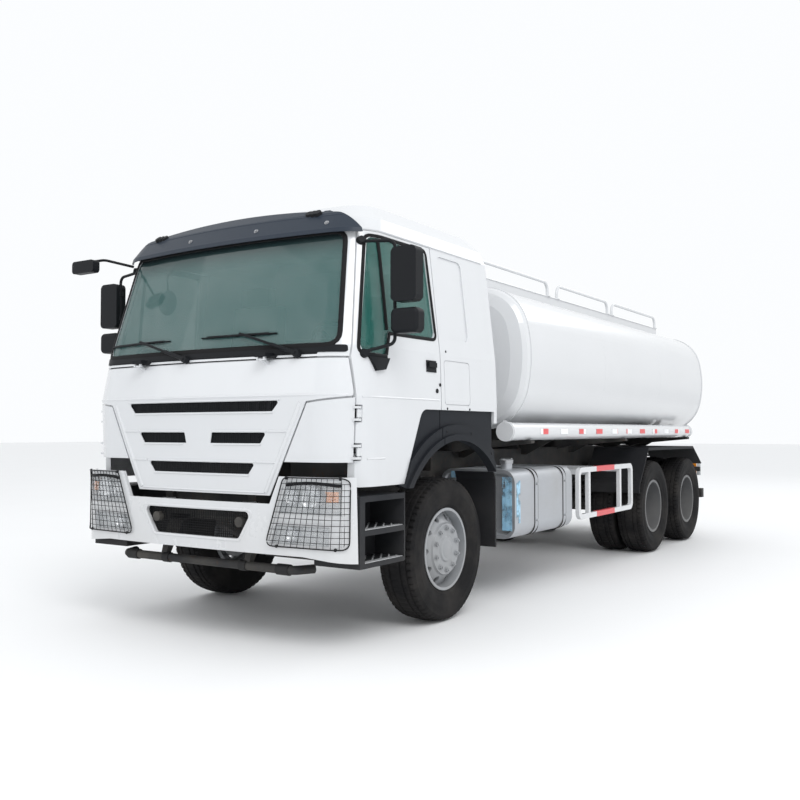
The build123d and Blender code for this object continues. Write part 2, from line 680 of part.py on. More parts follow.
# Cab steps: a box each side with two tread pockets open to the side, on an arm from the rail
STEP_FRONT = from_axle(-1222)
STEP_REAR = from_axle(-665)
STEP_INNER = 880.0
STEP_OUTER = 1236.0
STEP_FOOT = 530.0
STEP_HEAD = 975.0
# Tread pockets: bottom, top, inner wall
TREADS = ((560.0, 730.0, 1000.0), (765.0, 940.0, 960.0))
with BuildPart() as cab_steps:
    with BuildSketch(Plane.XY.offset(STEP_FOOT)):
        Polygon((STEP_INNER, STEP_FRONT), (STEP_OUTER, STEP_FRONT), (STEP_OUTER, STEP_REAR - 60),
                (STEP_OUTER - 30, STEP_REAR), (STEP_INNER, STEP_REAR), align=None)
    extrude(amount=STEP_HEAD - STEP_FOOT)
    for foot, head, inner in TREADS:
        with Locations(((inner + STEP_OUTER + 40) / 2, (STEP_FRONT + STEP_REAR) / 2,
                        (foot + head) / 2)):
            Box(STEP_OUTER + 40 - inner, STEP_REAR - STEP_FRONT - 110, head - foot,
                mode=Mode.SUBTRACT)
    bar(RAIL_X, STEP_INNER, from_axle(-1180), from_axle(-1080), RAIL_BOTTOM + 20,
        RAIL_BOTTOM + 110)
    mirror(about=Plane.YZ)
keep(cab_steps, "cab_steps")

# Fuel tank: rounded rectangular drum with a pressed dish in its front, straps and brackets
FUEL_FRONT = from_axle(1000)
FUEL_REAR = from_axle(2200)
FUEL_STRAPS = (from_axle(1385), from_axle(1990))
FUEL_Z = 775.0
FUEL_X = 850.0
FUEL_W = 700.0
FUEL_H = 570.0
FUEL_ROUND = 110.0
with BuildPart() as fuel_tank:
    with BuildSketch(Plane.XZ.offset(-FUEL_REAR)):
        with Locations((FUEL_X, FUEL_Z)):
            RectangleRounded(FUEL_W, FUEL_H, FUEL_ROUND)
    extrude(amount=FUEL_REAR - FUEL_FRONT)
    with BuildSketch(Plane.XZ.offset(-FUEL_FRONT)):
        with Locations((FUEL_X, FUEL_Z)):
            RectangleRounded(FUEL_W - 60, FUEL_H - 60, FUEL_ROUND - 30)
    extrude(amount=-22, taper=30, mode=Mode.SUBTRACT)
    for strap_y in FUEL_STRAPS:
        with BuildSketch(Plane.XZ.offset(-strap_y - 55)):
            with Locations((FUEL_X, FUEL_Z)):
                RectangleRounded(FUEL_W + 10, FUEL_H + 10, FUEL_ROUND + 5)
        extrude(amount=55)
        bar(RAIL_X, FUEL_X - FUEL_W / 2 + 20, strap_y, strap_y + 55, RAIL_BOTTOM + 10,
            RAIL_TOP - 20)
    with BuildSketch(Plane.XY.offset(FUEL_Z)):
        with Locations((FUEL_X + 190, FUEL_FRONT + 170)):
            Circle(48)
    extrude(amount=FUEL_H / 2 + 45)
keep(fuel_tank, "fuel_tank")

# Silencer: a rounded drum across the right side with its inlet pipe and hanger
SILENCER_X = -870.0
SILENCER_Y = from_axle(1010)
SILENCER_R = 225.0
with BuildPart() as silencer:
    with BuildSketch(across(SILENCER_X - 290, SILENCER_Y, 760)):
        Circle(SILENCER_R)
    extrude(amount=580)
    fillet(silencer.edges().filter_by(GeomType.CIRCLE), 30)
    bar(-SILENCER_R * 3, -RAIL_X, SILENCER_Y - 40, SILENCER_Y + 40, RAIL_BOTTOM + 20,
        RAIL_TOP - 30)
    add(straight_rod(50, (SILENCER_X - 100, SILENCER_Y, 760), (SILENCER_X - 100, SILENCER_Y, 470)))
keep(silencer, "silencer")

# Battery box and two air reservoirs on the right
RESERVOIRS = (from_axle(2150), from_axle(2950))
RESERVOIR_LENGTH = 700.0
with BuildPart() as battery_and_air_tanks:
    bar(-1150, -520, from_axle(1450), from_axle(2000), 560, 960)
    fillet(battery_and_air_tanks.edges().filter_by(Axis.Y), 25)
    bar(-1162, -510, from_axle(1440), from_axle(2010), 900, 985)
    bar(-520, -RAIL_X, from_axle(1500), from_axle(1950), 780, 860)
    for reservoir_y in RESERVOIRS:
        with BuildSketch(Plane.XZ.offset(-reservoir_y)):
            with Locations((-640, 800)):
                Circle(138)
        extrude(amount=-RESERVOIR_LENGTH)
        for strap in (150, RESERVOIR_LENGTH - 190):
            bar(-RAIL_X, -600, reservoir_y + strap, reservoir_y + strap + 40, 770, 830)
            with BuildSketch(Plane.XZ.offset(-reservoir_y - strap)):
                with Locations((-640, 800)):
                    Circle(143)
            extrude(amount=-40)
keep(battery_and_air_tanks, "battery_and_air_tanks")

# Side guards: a rounded frame each side with two inner posts, on outriggers from the rail
GUARD_FRONT = from_axle(2290)
GUARD_REAR = from_axle(3800)
GUARD_FOOT = 548.0
GUARD_HEAD = 1035.0
GUARD_TUBE = 48.0
GUARD_X = 1196.0
GUARD_POSTS = (from_axle(2560), from_axle(3420))
with BuildPart() as side_guards:
    with BuildSketch(Plane.YZ.offset(GUARD_X)):
        with Locations(((GUARD_FRONT + GUARD_REAR) / 2, (GUARD_FOOT + GUARD_HEAD) / 2)):
            RectangleRounded(GUARD_REAR - GUARD_FRONT, GUARD_HEAD - GUARD_FOOT, 80)
            RectangleRounded(GUARD_REAR - GUARD_FRONT - 2 * GUARD_TUBE,
                             GUARD_HEAD - GUARD_FOOT - 2 * GUARD_TUBE, 40, mode=Mode.SUBTRACT)
        for post_y in GUARD_POSTS:
            with Locations((post_y, (GUARD_FOOT + GUARD_HEAD) / 2)):
                Rectangle(GUARD_TUBE, GUARD_HEAD - GUARD_FOOT - GUARD_TUBE)
    extrude(amount=36)
    for post_y in GUARD_POSTS:
        bar(RAIL_X, GUARD_X, post_y - 20, post_y + 20, 960, 1010)
    mirror(about=Plane.YZ)
keep(side_guards, "side_guards")

# Mudguards: a flap behind each front wheel and one long arch over each pair of twins
FLAP_Y = from_axle(648)
ARCH_SHEET = 12.0
ARCH_INNER = 600.0
ARCH_OUTER = 1240.0
ARCH_LINE = ((3990.0, 700.0), (4010.0, 800.0), (4330.0, 1193.0), (6110.0, 1186.0),
             (6500.0, 960.0))
ARCH_STAYS = ((4040.0, 4080.0, 815.0, 850.0), (6360.0, 6400.0, 1040.0, 1065.0))
with BuildPart() as mudguards:
    add(side_plate(850, 1200, ((FLAP_Y, 470), (FLAP_Y + 18, 470), (FLAP_Y + 18, 1000),
                               (FLAP_Y - 10, 1060), (FLAP_Y - 28, 1060), (FLAP_Y, 1000))))
    bar(RAIL_X, 850, FLAP_Y, FLAP_Y + 18, 900, 980)
    outer_line = [(from_axle(y), z) for y, z in ARCH_LINE]
    inner_line = [(from_axle(y) + (14 if y < 4100 else 4 if y < 5000 else -5), z - shift)
                  for (y, z), shift in zip(ARCH_LINE, (0, 5, ARCH_SHEET, ARCH_SHEET, 10))]
    add(side_plate(ARCH_INNER, ARCH_OUTER, outer_line + inner_line[::-1]))
    lip_line = [(y, z - 32) for y, z in outer_line[2:4]]
    add(side_plate(ARCH_OUTER - 12, ARCH_OUTER, outer_line[2:4] + lip_line[::-1]))
    for front, rear, foot, head in ARCH_STAYS:
        bar(RAIL_X, ARCH_OUTER - 40, from_axle(front), from_axle(rear), foot, head)
    bar(RAIL_X, ARCH_OUTER - 40, BOGIE_Y - 25, BOGIE_Y + 25, 1150, 1180)
    mirror(about=Plane.YZ)
keep(mudguards, "mudguards")

# Rear bumper: a beam on two plate arms, the lamp cross bar and the tow jaw
JAW_BORE = 20.0
with BuildPart() as rear_bumper:
    bar(-1150, 1150, END_Y - 100, END_Y, 480, 600)
    for side in (-1, 1):
        add(side_plate(side * 385 - 20, side * 385 + 20, (
            (RAIL_REAR_Y - 140, RAIL_BOTTOM), (RAIL_REAR_Y, RAIL_BOTTOM), (END_Y - 100, 600),
            (END_Y - 100, 480), (RAIL_REAR_Y - 60, 560))))
        bar(side * 80, side * 1165, TAIL_BAR_Y, TAIL_BAR_Y + TAIL_BAR_DEPTH, 840, 900)
    bar(-80, 80, TAIL_BAR_Y, TAIL_BAR_Y + 25, 800, 990)
    bar(-60, 60, TAIL_BAR_Y, TAIL_BAR_Y + 130, 930, 970)
    bar(-60, 60, TAIL_BAR_Y, TAIL_BAR_Y + 130, 820, 860)
    with BuildSketch(Plane.XY.offset(800)):
        with Locations((0, TAIL_BAR_Y + 85)):
            Circle(JAW_BORE)
    extrude(amount=200, mode=Mode.SUBTRACT)
keep(rear_bumper, "rear_bumper")


def oval(inset):
    """The tank's cross section drawn in by inset: eight tangent arcs about the tank's axis."""
    side_centre = TANK_HALF_W - TANK_SIDE_R
    top_centre = TANK_HALF_H - TANK_TOP_R
    side_reach = TANK_SIDE_R - TANK_CORNER_R
    top_reach = TANK_TOP_R - TANK_CORNER_R
    span = math.hypot(side_centre, top_centre)
    along = (side_reach ** 2 - top_reach ** 2 + span ** 2) / (2 * span)
    off = math.sqrt(side_reach ** 2 - along ** 2)
    unit_x, unit_z = -side_centre / span, top_centre / span
    corner_x = side_centre + along * unit_x - off * unit_z
    corner_z = along * unit_z + off * unit_x
    corner = TANK_CORNER_R - inset
    to_side = math.atan2(corner_z, corner_x - side_centre)
    to_top = math.atan2(corner_z - top_centre, corner_x)
    side_joint = (corner_x + corner * math.cos(to_side), corner_z + corner * math.sin(to_side))
    top_joint = (corner_x + corner * math.cos(to_top), corner_z + corner * math.sin(to_top))
    turn = (to_side + to_top) / 2
    corner_mid = (corner_x + corner * math.cos(turn), corner_z + corner * math.sin(turn))
    width, height = TANK_HALF_W - inset, TANK_HALF_H - inset
    for sign_x, sign_z in ((1, 1), (-1, -1)):
        ThreePointArc((sign_x * side_joint[0], -sign_z * side_joint[1]), (sign_x * width, 0),
                      (sign_x * side_joint[0], sign_z * side_joint[1]))
        ThreePointArc((sign_x * side_joint[0], sign_z * side_joint[1]),
                      (sign_x * corner_mid[0], sign_z * corner_mid[1]),
                      (sign_x * top_joint[0], sign_z * top_joint[1]))
        ThreePointArc((sign_x * top_joint[0], sign_z * top_joint[1]), (0, sign_z * height),
                      (-sign_x * top_joint[0], sign_z * top_joint[1]))
        ThreePointArc((-sign_x * top_joint[0], sign_z * top_joint[1]),
                      (-sign_x * corner_mid[0], sign_z * corner_mid[1]),
                      (-sign_x * side_joint[0], sign_z * side_joint[1]))


def tank_plane(station):
    """A plane across the tank, centred on its axis."""
    return Plane(origin=(0, station, TANK_Z), x_dir=(1, 0, 0), z_dir=(0, -1, 0))


def tank_body(grow):
    """The barrel with its dished heads, grown by a clearance."""
    with BuildPart() as body:
        stations = [(TANK_FRONT - depth - grow, inset - grow) for inset, depth in HEAD_STEPS]
        stations = stations[::-1]
        stations += [(TANK_REAR + depth + grow, inset - grow) for inset, depth in HEAD_STEPS]
        for station, inset in stations:
            with BuildSketch(tank_plane(station)):
                with BuildLine():
                    oval(inset)
                make_face()
        loft(ruled=True)
    return body.part


# Tank barrel with its outlet, a rolled rim at each head and the subframe that carries it
OUTLET_Z = TANK_BOTTOM + 150.0
OUTLET_R = 62.0
OUTLET_BORE = 50.0
OUTLET_END = from_axle(6830)
RIM_BAND = 26.0
with BuildPart() as tank_barrel:
    add(tank_body(0.0))
    for band_y in (TANK_FRONT + 10, TANK_REAR - 10 - RIM_BAND):
        with BuildSketch(tank_plane(band_y)):
            with BuildLine():
                oval(-7.0)
            make_face()
        extrude(amount=-RIM_BAND)
    with BuildSketch(Plane.XZ.offset(-TANK_REAR)):
        with Locations((0, OUTLET_Z)):
            Circle(OUTLET_R)
    extrude(amount=TANK_REAR - OUTLET_END)
    with BuildSketch(Plane.XZ.offset(-OUTLET_END + 30)):
        with Locations((0, OUTLET_Z)):
            Circle(OUTLET_R + 28)
    extrude(amount=-30)
    with BuildSketch(Plane.XZ.offset(-OUTLET_END)):
        with Locations((0, OUTLET_Z)):
            Circle(OUTLET_BORE)
    extrude(amount=90, mode=Mode.SUBTRACT)
keep(tank_barrel, "tank_barrel")

with BuildPart() as tank_subframe:
    for side in (-1, 1):
        bar(side * (RAIL_X - RAIL_FLANGE), side * RAIL_X, from_axle(950), RAIL_REAR_Y, RAIL_TOP,
            SUB_TOP)
    for saddle_y in SADDLES:
        add(cross_plate(from_axle(saddle_y) - 10, from_axle(saddle_y) + 10, mirrored((
            (SADDLE_HALF, TANK_Z - 400), (SADDLE_HALF, TANK_BOTTOM + 50),
            (RAIL_X + 60, SUB_TOP - 60), (RAIL_X, SUB_TOP - 60), (RAIL_X, SUB_TOP)))))
        for side in (-1, 1):
            bar(side * (SADDLE_HALF - 90), side * SADDLE_HALF, from_axle(saddle_y) - 60,
                from_axle(saddle_y) + 60, TANK_BOTTOM + 60, TANK_BOTTOM + 160)
            bar(side * (RAIL_X - 60), side * (RAIL_X - 20), from_axle(saddle_y) - 60,
                from_axle(saddle_y) + 60, SUB_TOP, TANK_BOTTOM + 60)
    add(tank_body(SEAT_GAP), mode=Mode.SUBTRACT)
    gusset_top = HOSE_Z - HOSE_R - SEAT_GAP
    for gusset_y in OUTRIGGERS:
        for side in (-1, 1):
            add(cross_plate(from_axle(gusset_y) - 35, from_axle(gusset_y) + 35, (
                (side * RAIL_X, SUB_TOP - 20), (side * 560, 1215), (side * 1200, gusset_top - 25),
                (side * 1200, gusset_top), (side * RAIL_X, gusset_top))))
            bar(side * (RAIL_X - 40), side * RAIL_X, from_axle(gusset_y) - 35,
                from_axle(gusset_y) + 35, SUB_TOP, gusset_top)
keep(tank_subframe, "tank_subframe")

# Hose tubes along both flanks of the tank
with BuildPart() as hose_tubes:
    for side in (-1, 1):
        for front, rear, radius in ((HOSE_FRONT, HOSE_REAR, HOSE_R),
                                    (HOSE_FRONT + 8, HOSE_FRONT + 48, HOSE_R + 7),
                                    (HOSE_REAR - 48, HOSE_REAR - 8, HOSE_R + 7)):
            with BuildSketch(Plane.XZ.offset(-front)):
                with Locations((side * HOSE_X, HOSE_Z)):
                    Circle(radius)
            extrude(amount=front - rear)
keep(hose_tubes, "hose_tubes")

# Walkway: a coaming box on the barrel, and the manhole neck with the lid's ears and pin
LID_PIN_Y = NECK_Y + 330.0
LID_PIN_Z = NECK_TOP + 20.0
LID_PIN_R = 8.0
with BuildPart() as walkway:
    for side in (-1, 1):
        bar(side * (CURB_X - CURB_SHEET), side * CURB_X, CURB_FRONT, CURB_REAR, TANK_TOP - 100,
            CURB_TOP)
    for end_y in (CURB_FRONT, CURB_REAR - CURB_SHEET):
        bar(-CURB_X, CURB_X, end_y, end_y + CURB_SHEET, TANK_TOP - 100, CURB_TOP)
    with BuildSketch(Plane.XY.offset(TANK_TOP - 40)):
        with Locations((0, NECK_Y)):
            Circle(NECK_R)
            Circle(NECK_R - NECK_WALL, mode=Mode.SUBTRACT)
    extrude(amount=NECK_TOP - TANK_TOP + 40)
    add(tank_body(SEAT_GAP), mode=Mode.SUBTRACT)
    for ear_x in (-55, 40):
        add(side_plate(ear_x, ear_x + 15, (
            (NECK_Y + 274, NECK_TOP - 70), (NECK_Y + 300, NECK_TOP - 70),
            (NECK_Y + 348, NECK_TOP + 10), (NECK_Y + 348, NECK_TOP + 38),
            (NECK_Y + 312, NECK_TOP + 38), (NECK_Y + 312, NECK_TOP - 5),
            (NECK_Y + 274, NECK_TOP - 5))))
    add(straight_rod(LID_PIN_R, (-55, LID_PIN_Y, LID_PIN_Z), (55, LID_PIN_Y, LID_PIN_Z)))
keep(walkway, "walkway")

# Hand rails: three hoops along each edge, standing on the coaming
with BuildPart() as hand_rails:
    for front, rear in HOOPS:
        for side in (-1, 1):
            hoop_x = side * (CURB_X - CURB_SHEET / 2)
            add(rod(HOOP_R, ((hoop_x, from_axle(front), CURB_TOP),
                             (hoop_x, from_axle(front), HOOP_TOP),
                             (hoop_x, from_axle(rear), HOOP_TOP),
                             (hoop_x, from_axle(rear), CURB_TOP)), 90))
keep(hand_rails, "hand_rails")

with BuildPart() as manhole_lid:
    with BuildSketch(Plane.XY.offset(NECK_TOP + 6)):
        with Locations((0, NECK_Y)):
            Circle(LID_COVER_R)
    extrude(amount=18)
    with BuildSketch(Plane.XY.offset(NECK_TOP + 24)):
        with Locations((0, NECK_Y)):
            Circle(LID_COVER_R - 50)
    extrude(amount=16, taper=40)
    bar(-30, 30, NECK_Y + 200, LID_PIN_Y, NECK_TOP + 10, NECK_TOP + 30)
    with BuildSketch(across(-30, LID_PIN_Y, LID_PIN_Z)):
        Circle(16)
    extrude(amount=60)
    with BuildSketch(across(-30, LID_PIN_Y, LID_PIN_Z)):
        Circle(LID_PIN_R + RUNNING_GAP)
    extrude(amount=60, mode=Mode.SUBTRACT)
    add(rod(7, ((-60, NECK_Y - 220, NECK_TOP + 20), (-60, NECK_Y - 220, NECK_TOP + 75),
                (60, NECK_Y - 220, NECK_TOP + 75), (60, NECK_Y - 220, NECK_TOP + 20)), 20))
keep(manhole_lid, "manhole_lid")

# Rear ladder, bracketed to the rear head and to the lamp bar
LADDER_X = -600.0
LADDER_HALF = 170.0
LADDER_Y = TAIL_BAR_Y + TAIL_BAR_DEPTH + 60.0
LADDER_R = 16.0
with BuildPart() as rear_ladder:
    for side in (-1, 1):
        rail_x = LADDER_X + side * LADDER_HALF
        add(straight_rod(LADDER_R, (rail_x, LADDER_Y, 700), (rail_x, LADDER_Y, 2760)))
        bar(rail_x - 12, rail_x + 12, TAIL_BAR_Y + TAIL_BAR_DEPTH, LADDER_Y, 850, 890)
        for stay_z in (1750, 2350):
            add(straight_rod(12, (rail_x, LADDER_Y, stay_z), (rail_x, TANK_REAR - 60, stay_z)))
    for rung in range(7):
        add(straight_rod(11, (LADDER_X - LADDER_HALF, LADDER_Y, 760 + 310 * rung),
                         (LADDER_X + LADDER_HALF, LADDER_Y, 760 + 310 * rung)))
    add(tank_body(SEAT_GAP), mode=Mode.SUBTRACT)
keep(rear_ladder, "rear_ladder")

# Cab: panels cut from one hollow form, joined where the real panels meet
CAB_SKIN = layer(cab_body, 0.0, CAB_WALL)
CAB_INSIDE = cab_body(CAB_WALL + SEAT_GAP)
CAB_OUTSIDE = cab_body(-SEAT_GAP)
WIDE = 1500.0
PANEL_FOOT = ARCH_TOP


def door_block(grow):
    """The door's outline from the side, grown by a clearance, reaching out to the left."""
    with BuildPart() as block:
        with BuildSketch(Plane.YZ) as outline:
            Polygon((DOOR_FRONT, DOOR_SILL), (DOOR_FRONT, BELT_Z), (DOOR_TOP_FRONT, DOOR_TOP),
                    (DOOR_REAR, DOOR_TOP), (DOOR_REAR, ARCH_TOP), (DOOR_KNEE, ARCH_TOP),
                    (DOOR_TOE, DOOR_SILL), align=None)
            corners = outline.vertices().sort_by_distance(Vector(DOOR_KNEE, ARCH_TOP, 0))
            fillet(corners[0], 90)
            fillet(outline.vertices().sort_by_distance(Vector(DOOR_FRONT, DOOR_SILL, 0))[0], 25)
            offset(amount=grow)
        extrude(amount=WIDE)
    return block.part


def window_block(grow):
    """The side window's outline, grown by a clearance, reaching out to the left."""
    with BuildPart() as block:
        with BuildSketch(Plane.YZ) as outline:
            Polygon(*WINDOW, align=None)
            fillet(outline.vertices(), 45)
            offset(amount=grow)
        extrude(amount=WIDE)
    return block.part


def arch_cutter(radius):
    """A cylinder about the front wheels' axis, right across the truck."""
    with BuildPart() as cutter:
        with BuildSketch(across(-WIDE, FRONT_Y, HUB_Z)):
            Circle(radius)
        extrude(amount=2 * WIDE)
    return cutter.part


with BuildPart() as cab_roof:
    add(CAB_SKIN)
    add(side_plate(-WIDE, WIDE, ((from_axle(-1500), ROOF_SEAM_Z), (from_axle(800), ROOF_SEAM_Z),
                                 (from_axle(800), 3200), (from_axle(-1500), 3200))),
        mode=Mode.INTERSECT)
keep(cab_roof, "cab_roof")

with BuildPart() as cab_rear_wall:
    bar(-WIDE, WIDE, REAR_WALL_Y - CAB_WALL, REAR_WALL_Y + 10, CAB_FLOOR_Z - FLOOR_SHEET,
        ROOF_SEAM_Z)
    add(CAB_SKIN, mode=Mode.INTERSECT)
    for rib_z in (1750, 2050, 2350):
        bar(-900, 900, REAR_WALL_Y - 12, REAR_WALL_Y, rib_z, rib_z + 60)
keep(cab_rear_wall, "cab_rear_wall")

# Side walls behind the doors: a pressed panel above and a locker flap below
SIDE_FRONT = DOOR_REAR + SEAM
RECESS = ((-125.0, 2045.0), (225.0, 2045.0), (225.0, 2650.0), (-125.0, 2650.0))
LOCKER = ((-165.0, 1567.0), (210.0, 1567.0), (210.0, 1887.0), (-165.0, 1887.0))
LOCKER_INNER = ((-160.0, 1572.0), (205.0, 1572.0), (205.0, 1882.0), (-160.0, 1882.0))
PRESSING_DEPTH = 10.0
GROOVE_DEPTH = 8.0


def wall_pressing():
    """The shallow pressing in the wall behind the door, as what it takes out of the skin."""
    with BuildPart() as pressing:
        add(side_region([(from_axle(y), z) for y, z in RECESS], reach=WIDE, radius=50))
        add(cab_body(PRESSING_DEPTH), mode=Mode.SUBTRACT)
    return pressing.part


def locker_groove():
    """The seam round the locker flap, as what it takes out of the skin."""
    with BuildPart() as groove:
        add(side_region([(from_axle(y), z) for y, z in LOCKER], reach=WIDE, radius=30))
        add(side_region([(from_axle(y), z) for y, z in LOCKER_INNER], reach=WIDE, radius=25),
            mode=Mode.SUBTRACT)
        add(cab_body(GROOVE_DEPTH), mode=Mode.SUBTRACT)
    return groove.part


with BuildPart() as cab_sides:
    add(side_plate(0, WIDE, ((SIDE_FRONT, PANEL_FOOT), (REAR_WALL_Y - CAB_WALL, PANEL_FOOT),
                             (REAR_WALL_Y - CAB_WALL, ROOF_SEAM_Z), (SIDE_FRONT, ROOF_SEAM_Z))))
    add(CAB_SKIN, mode=Mode.INTERSECT)
    add(wall_pressing(), mode=Mode.SUBTRACT)
    add(locker_groove(), mode=Mode.SUBTRACT)
    mirror(about=Plane.YZ)
keep(cab_sides, "cab_sides")

# Cab front: everything ahead of the door seams, with the windscreen opening, the pocket that
# the front lid closes into, the opening over the radiator, and the door and lid hinge ears
SCREEN_OUTLINE = mirrored((SCREEN_HEAD, SCREEN_FOOT))
LID_OUTLINE = mirrored(((LID_HALF, LID_TOP), (LID_HALF, LID_BAND), LID_V_TOP,
                        (LID_V_FOOT, LID_FOOT)))
CORNER_FOOT = 1185.0
HINGE_PIN_R = 6.0
HINGE_EAR_R = 13.0
HINGE_Z = (1250.0, 1490.0)
NOTCH_HALF = 55.0
SLEEVE_HALF = 25.0
EAR_INNER = 31.0
EAR_OUTER = 46.0
LID_AXIS = (from_axle(-1392), 1842.0)
LID_HINGE_X = 580.0
LID_PIN = 5.0
with BuildPart() as cab_front:
    add(CAB_SKIN)
    add(side_plate(-WIDE, WIDE, (
        (from_axle(-1600), CORNER_FOOT), (DOOR_FRONT - SEAM, CORNER_FOOT),
        (DOOR_FRONT - SEAM, BELT_Z), (DOOR_TOP_FRONT - SEAM, DOOR_TOP),
        (DOOR_TOP_FRONT - SEAM, ROOF_SEAM_Z), (from_axle(-1600), ROOF_SEAM_Z))),
        mode=Mode.INTERSECT)
    add(front_region(SCREEN_OUTLINE, radius=70), mode=Mode.SUBTRACT)
    add(shared(layer(cab_body, -1.0, LID_POCKET), front_region(LID_OUTLINE, grow=LID_GAP)),
        mode=Mode.SUBTRACT)
    add(front_region(((410, 1000), (410, 1650), (-410, 1650), (-410, 1000))),
        mode=Mode.SUBTRACT)
    for side in (-1, 1):
        for hinge_z in HINGE_Z:
            for foot, head in ((-EAR_OUTER, -EAR_INNER), (EAR_INNER, EAR_OUTER)):
                bar(side * (DOOR_HINGE[0] - 40), side * (DOOR_HINGE[0] + HINGE_EAR_R),
                    DOOR_FRONT - SEAM - 14, DOOR_HINGE[1] + HINGE_EAR_R, hinge_z + foot,
                    hinge_z + head)
            with Locations((side * DOOR_HINGE[0], DOOR_HINGE[1], hinge_z)):
                Cylinder(HINGE_PIN_R, 2 * EAR_OUTER)
        for ear_x in (LID_HINGE_X - 34, LID_HINGE_X + 22):
            near, far = sorted((side * ear_x, side * (ear_x + 12)))
            add(side_plate(near, far, (
                (LID_AXIS[0] - 10, LID_AXIS[1] - 8), (LID_AXIS[0] + 10, LID_AXIS[1] - 8),
                (LID_AXIS[0] + 12, LID_AXIS[1] + 10), (LID_AXIS[0] + 85, LID_AXIS[1] + 14),
                (LID_AXIS[0] + 85, LID_AXIS[1] + 30), (LID_AXIS[0] - 4, LID_AXIS[1] + 24),
                (LID_AXIS[0] - 10, LID_AXIS[1] + 12))))
        pin_x = sorted((side * (LID_HINGE_X - 34), side * (LID_HINGE_X + 34)))
        add(straight_rod(LID_PIN, (pin_x[0], *LID_AXIS), (pin_x[1], *LID_AXIS)))
keep(cab_front, "cab_front")

with BuildPart() as windscreen:
    add(layer(cab_body, 8.0, 8.0 + GLASS))
    add(front_region(SCREEN_OUTLINE, radius=70, grow=-SEAT_GAP), mode=Mode.INTERSECT)
keep(windscreen, "windscreen")

# Cowl strip under the windscreen, with the two wiper posts: x, height, skin from the front axle
COWL = mirrored(((1120.0, 1922.0), (1128.0, 1876.0)))
WIPER_POSTS = ((-130.0, 1868.0, -1352.0), (811.0, 1868.0, -1304.0))
with BuildPart() as wiper_cowl:
    add(layer(cab_body, -5.0, -SEAT_GAP))
    add(front_region(COWL, radius=14), mode=Mode.INTERSECT)
    for post_x, post_z, skin_y in WIPER_POSTS:
        add(straight_rod(16, (post_x, from_axle(skin_y + 20), post_z),
                         (post_x, from_axle(skin_y - 35), post_z - 6)))
    add(CAB_OUTSIDE, mode=Mode.SUBTRACT)
keep(wiper_cowl, "wiper_cowl")

# Sun visor: a wrapped shield standing off the windscreen's head on brackets
VISOR_STAND = 50.0
VISOR_SHEET = 12.0
VISOR_OUTLINE = mirrored(((1150.0, 2905.0), (1190.0, 2672.0)))
with BuildPart() as sun_visor:
    add(layer(cab_body, -VISOR_STAND, VISOR_SHEET - VISOR_STAND))
    add(front_region(VISOR_OUTLINE, radius=40), mode=Mode.INTERSECT)
    bar(-WIDE, WIDE, from_axle(-1500), from_axle(-1005), 2600, 3000, mode=Mode.INTERSECT)
    for bracket_x in (-800, -270, 270, 800):
        add(shared(layer(cab_body, 1 - VISOR_STAND, -SEAT_GAP), front_region((
            (bracket_x - 20, 2830), (bracket_x + 20, 2830), (bracket_x + 20, 2850),
            (bracket_x - 20, 2850)))))
keep(sun_visor, "sun_visor")

# Floor: footwell, heel slope and flat deck on either side of the engine tunnel
FLOOR_LINE = ((-1310.0, FOOTWELL_Z), (-620.0, FOOTWELL_Z), (-440.0, CAB_FLOOR_Z),
              (594.0, CAB_FLOOR_Z))
FLOOR_HALF = 1160.0
PIVOT_HALF = 470.0
floor_top = [(from_axle(y), z) for y, z in FLOOR_LINE]
floor_under = [(y, z - FLOOR_SHEET) for y, z in floor_top]
floor_under[1] = (floor_under[1][0] + 12, floor_under[1][1])
floor_under[2] = (floor_under[2][0] + 12, floor_under[2][1])
with BuildPart() as cab_floor:
    for side in (-1, 1):
        near, far = sorted((side * TUNNEL_HALF, side * FLOOR_HALF))
        add(side_plate(near, far, floor_top + floor_under[::-1]))
    add(CAB_INSIDE, mode=Mode.INTERSECT)
keep(cab_floor, "cab_floor")

# Engine tunnel between the floors, and the pivot tube the cab tilts about on its two lugs
with BuildPart() as engine_tunnel:
    tunnel_top = [(from_axle(620), TUNNEL_TOP), (from_axle(-1310), TUNNEL_TOP)]
    add(side_plate(-TUNNEL_HALF, TUNNEL_HALF, floor_under + tunnel_top))
    bar(TUNNEL_SHEET - TUNNEL_HALF, TUNNEL_HALF - TUNNEL_SHEET, from_axle(-1500),
        from_axle(700), 1000, TUNNEL_TOP - TUNNEL_SHEET, mode=Mode.SUBTRACT)
    add(CAB_INSIDE, mode=Mode.INTERSECT)
    for side in (-1, 1):
        near, far = sorted((side * (PIVOT_HALF - 25), side * PIVOT_HALF))
        add(side_plate(near, far, (
            (TILT_Y - 34, TILT_Z - 10), (TILT_Y - 12, TILT_Z - 34), (TILT_Y + 12, TILT_Z - 34),
            (TILT_Y + 34, TILT_Z - 10), (TILT_Y + 150, FOOTWELL_Z - FLOOR_SHEET),
            (TILT_Y - 10, FOOTWELL_Z - FLOOR_SHEET))))
    with BuildSketch(across(-PIVOT_HALF, TILT_Y, TILT_Z)):
        Circle(TILT_R)
    extrude(amount=2 * PIVOT_HALF)
keep(engine_tunnel, "engine_tunnel")

# Wheel arch panels on the cab behind the doors, dark, with a flared lip over the tyre
FLARE_BAND = 45.0
ARCH_PLATE = (1177.0, 1207.0)


def arch_band(outline, reach, radius):
    """The part of an arch panel near the tyre, standing out to reach within a radius."""
    return shared(side_plate(ARCH_PLATE[0], reach, outline), arch_cutter(radius))


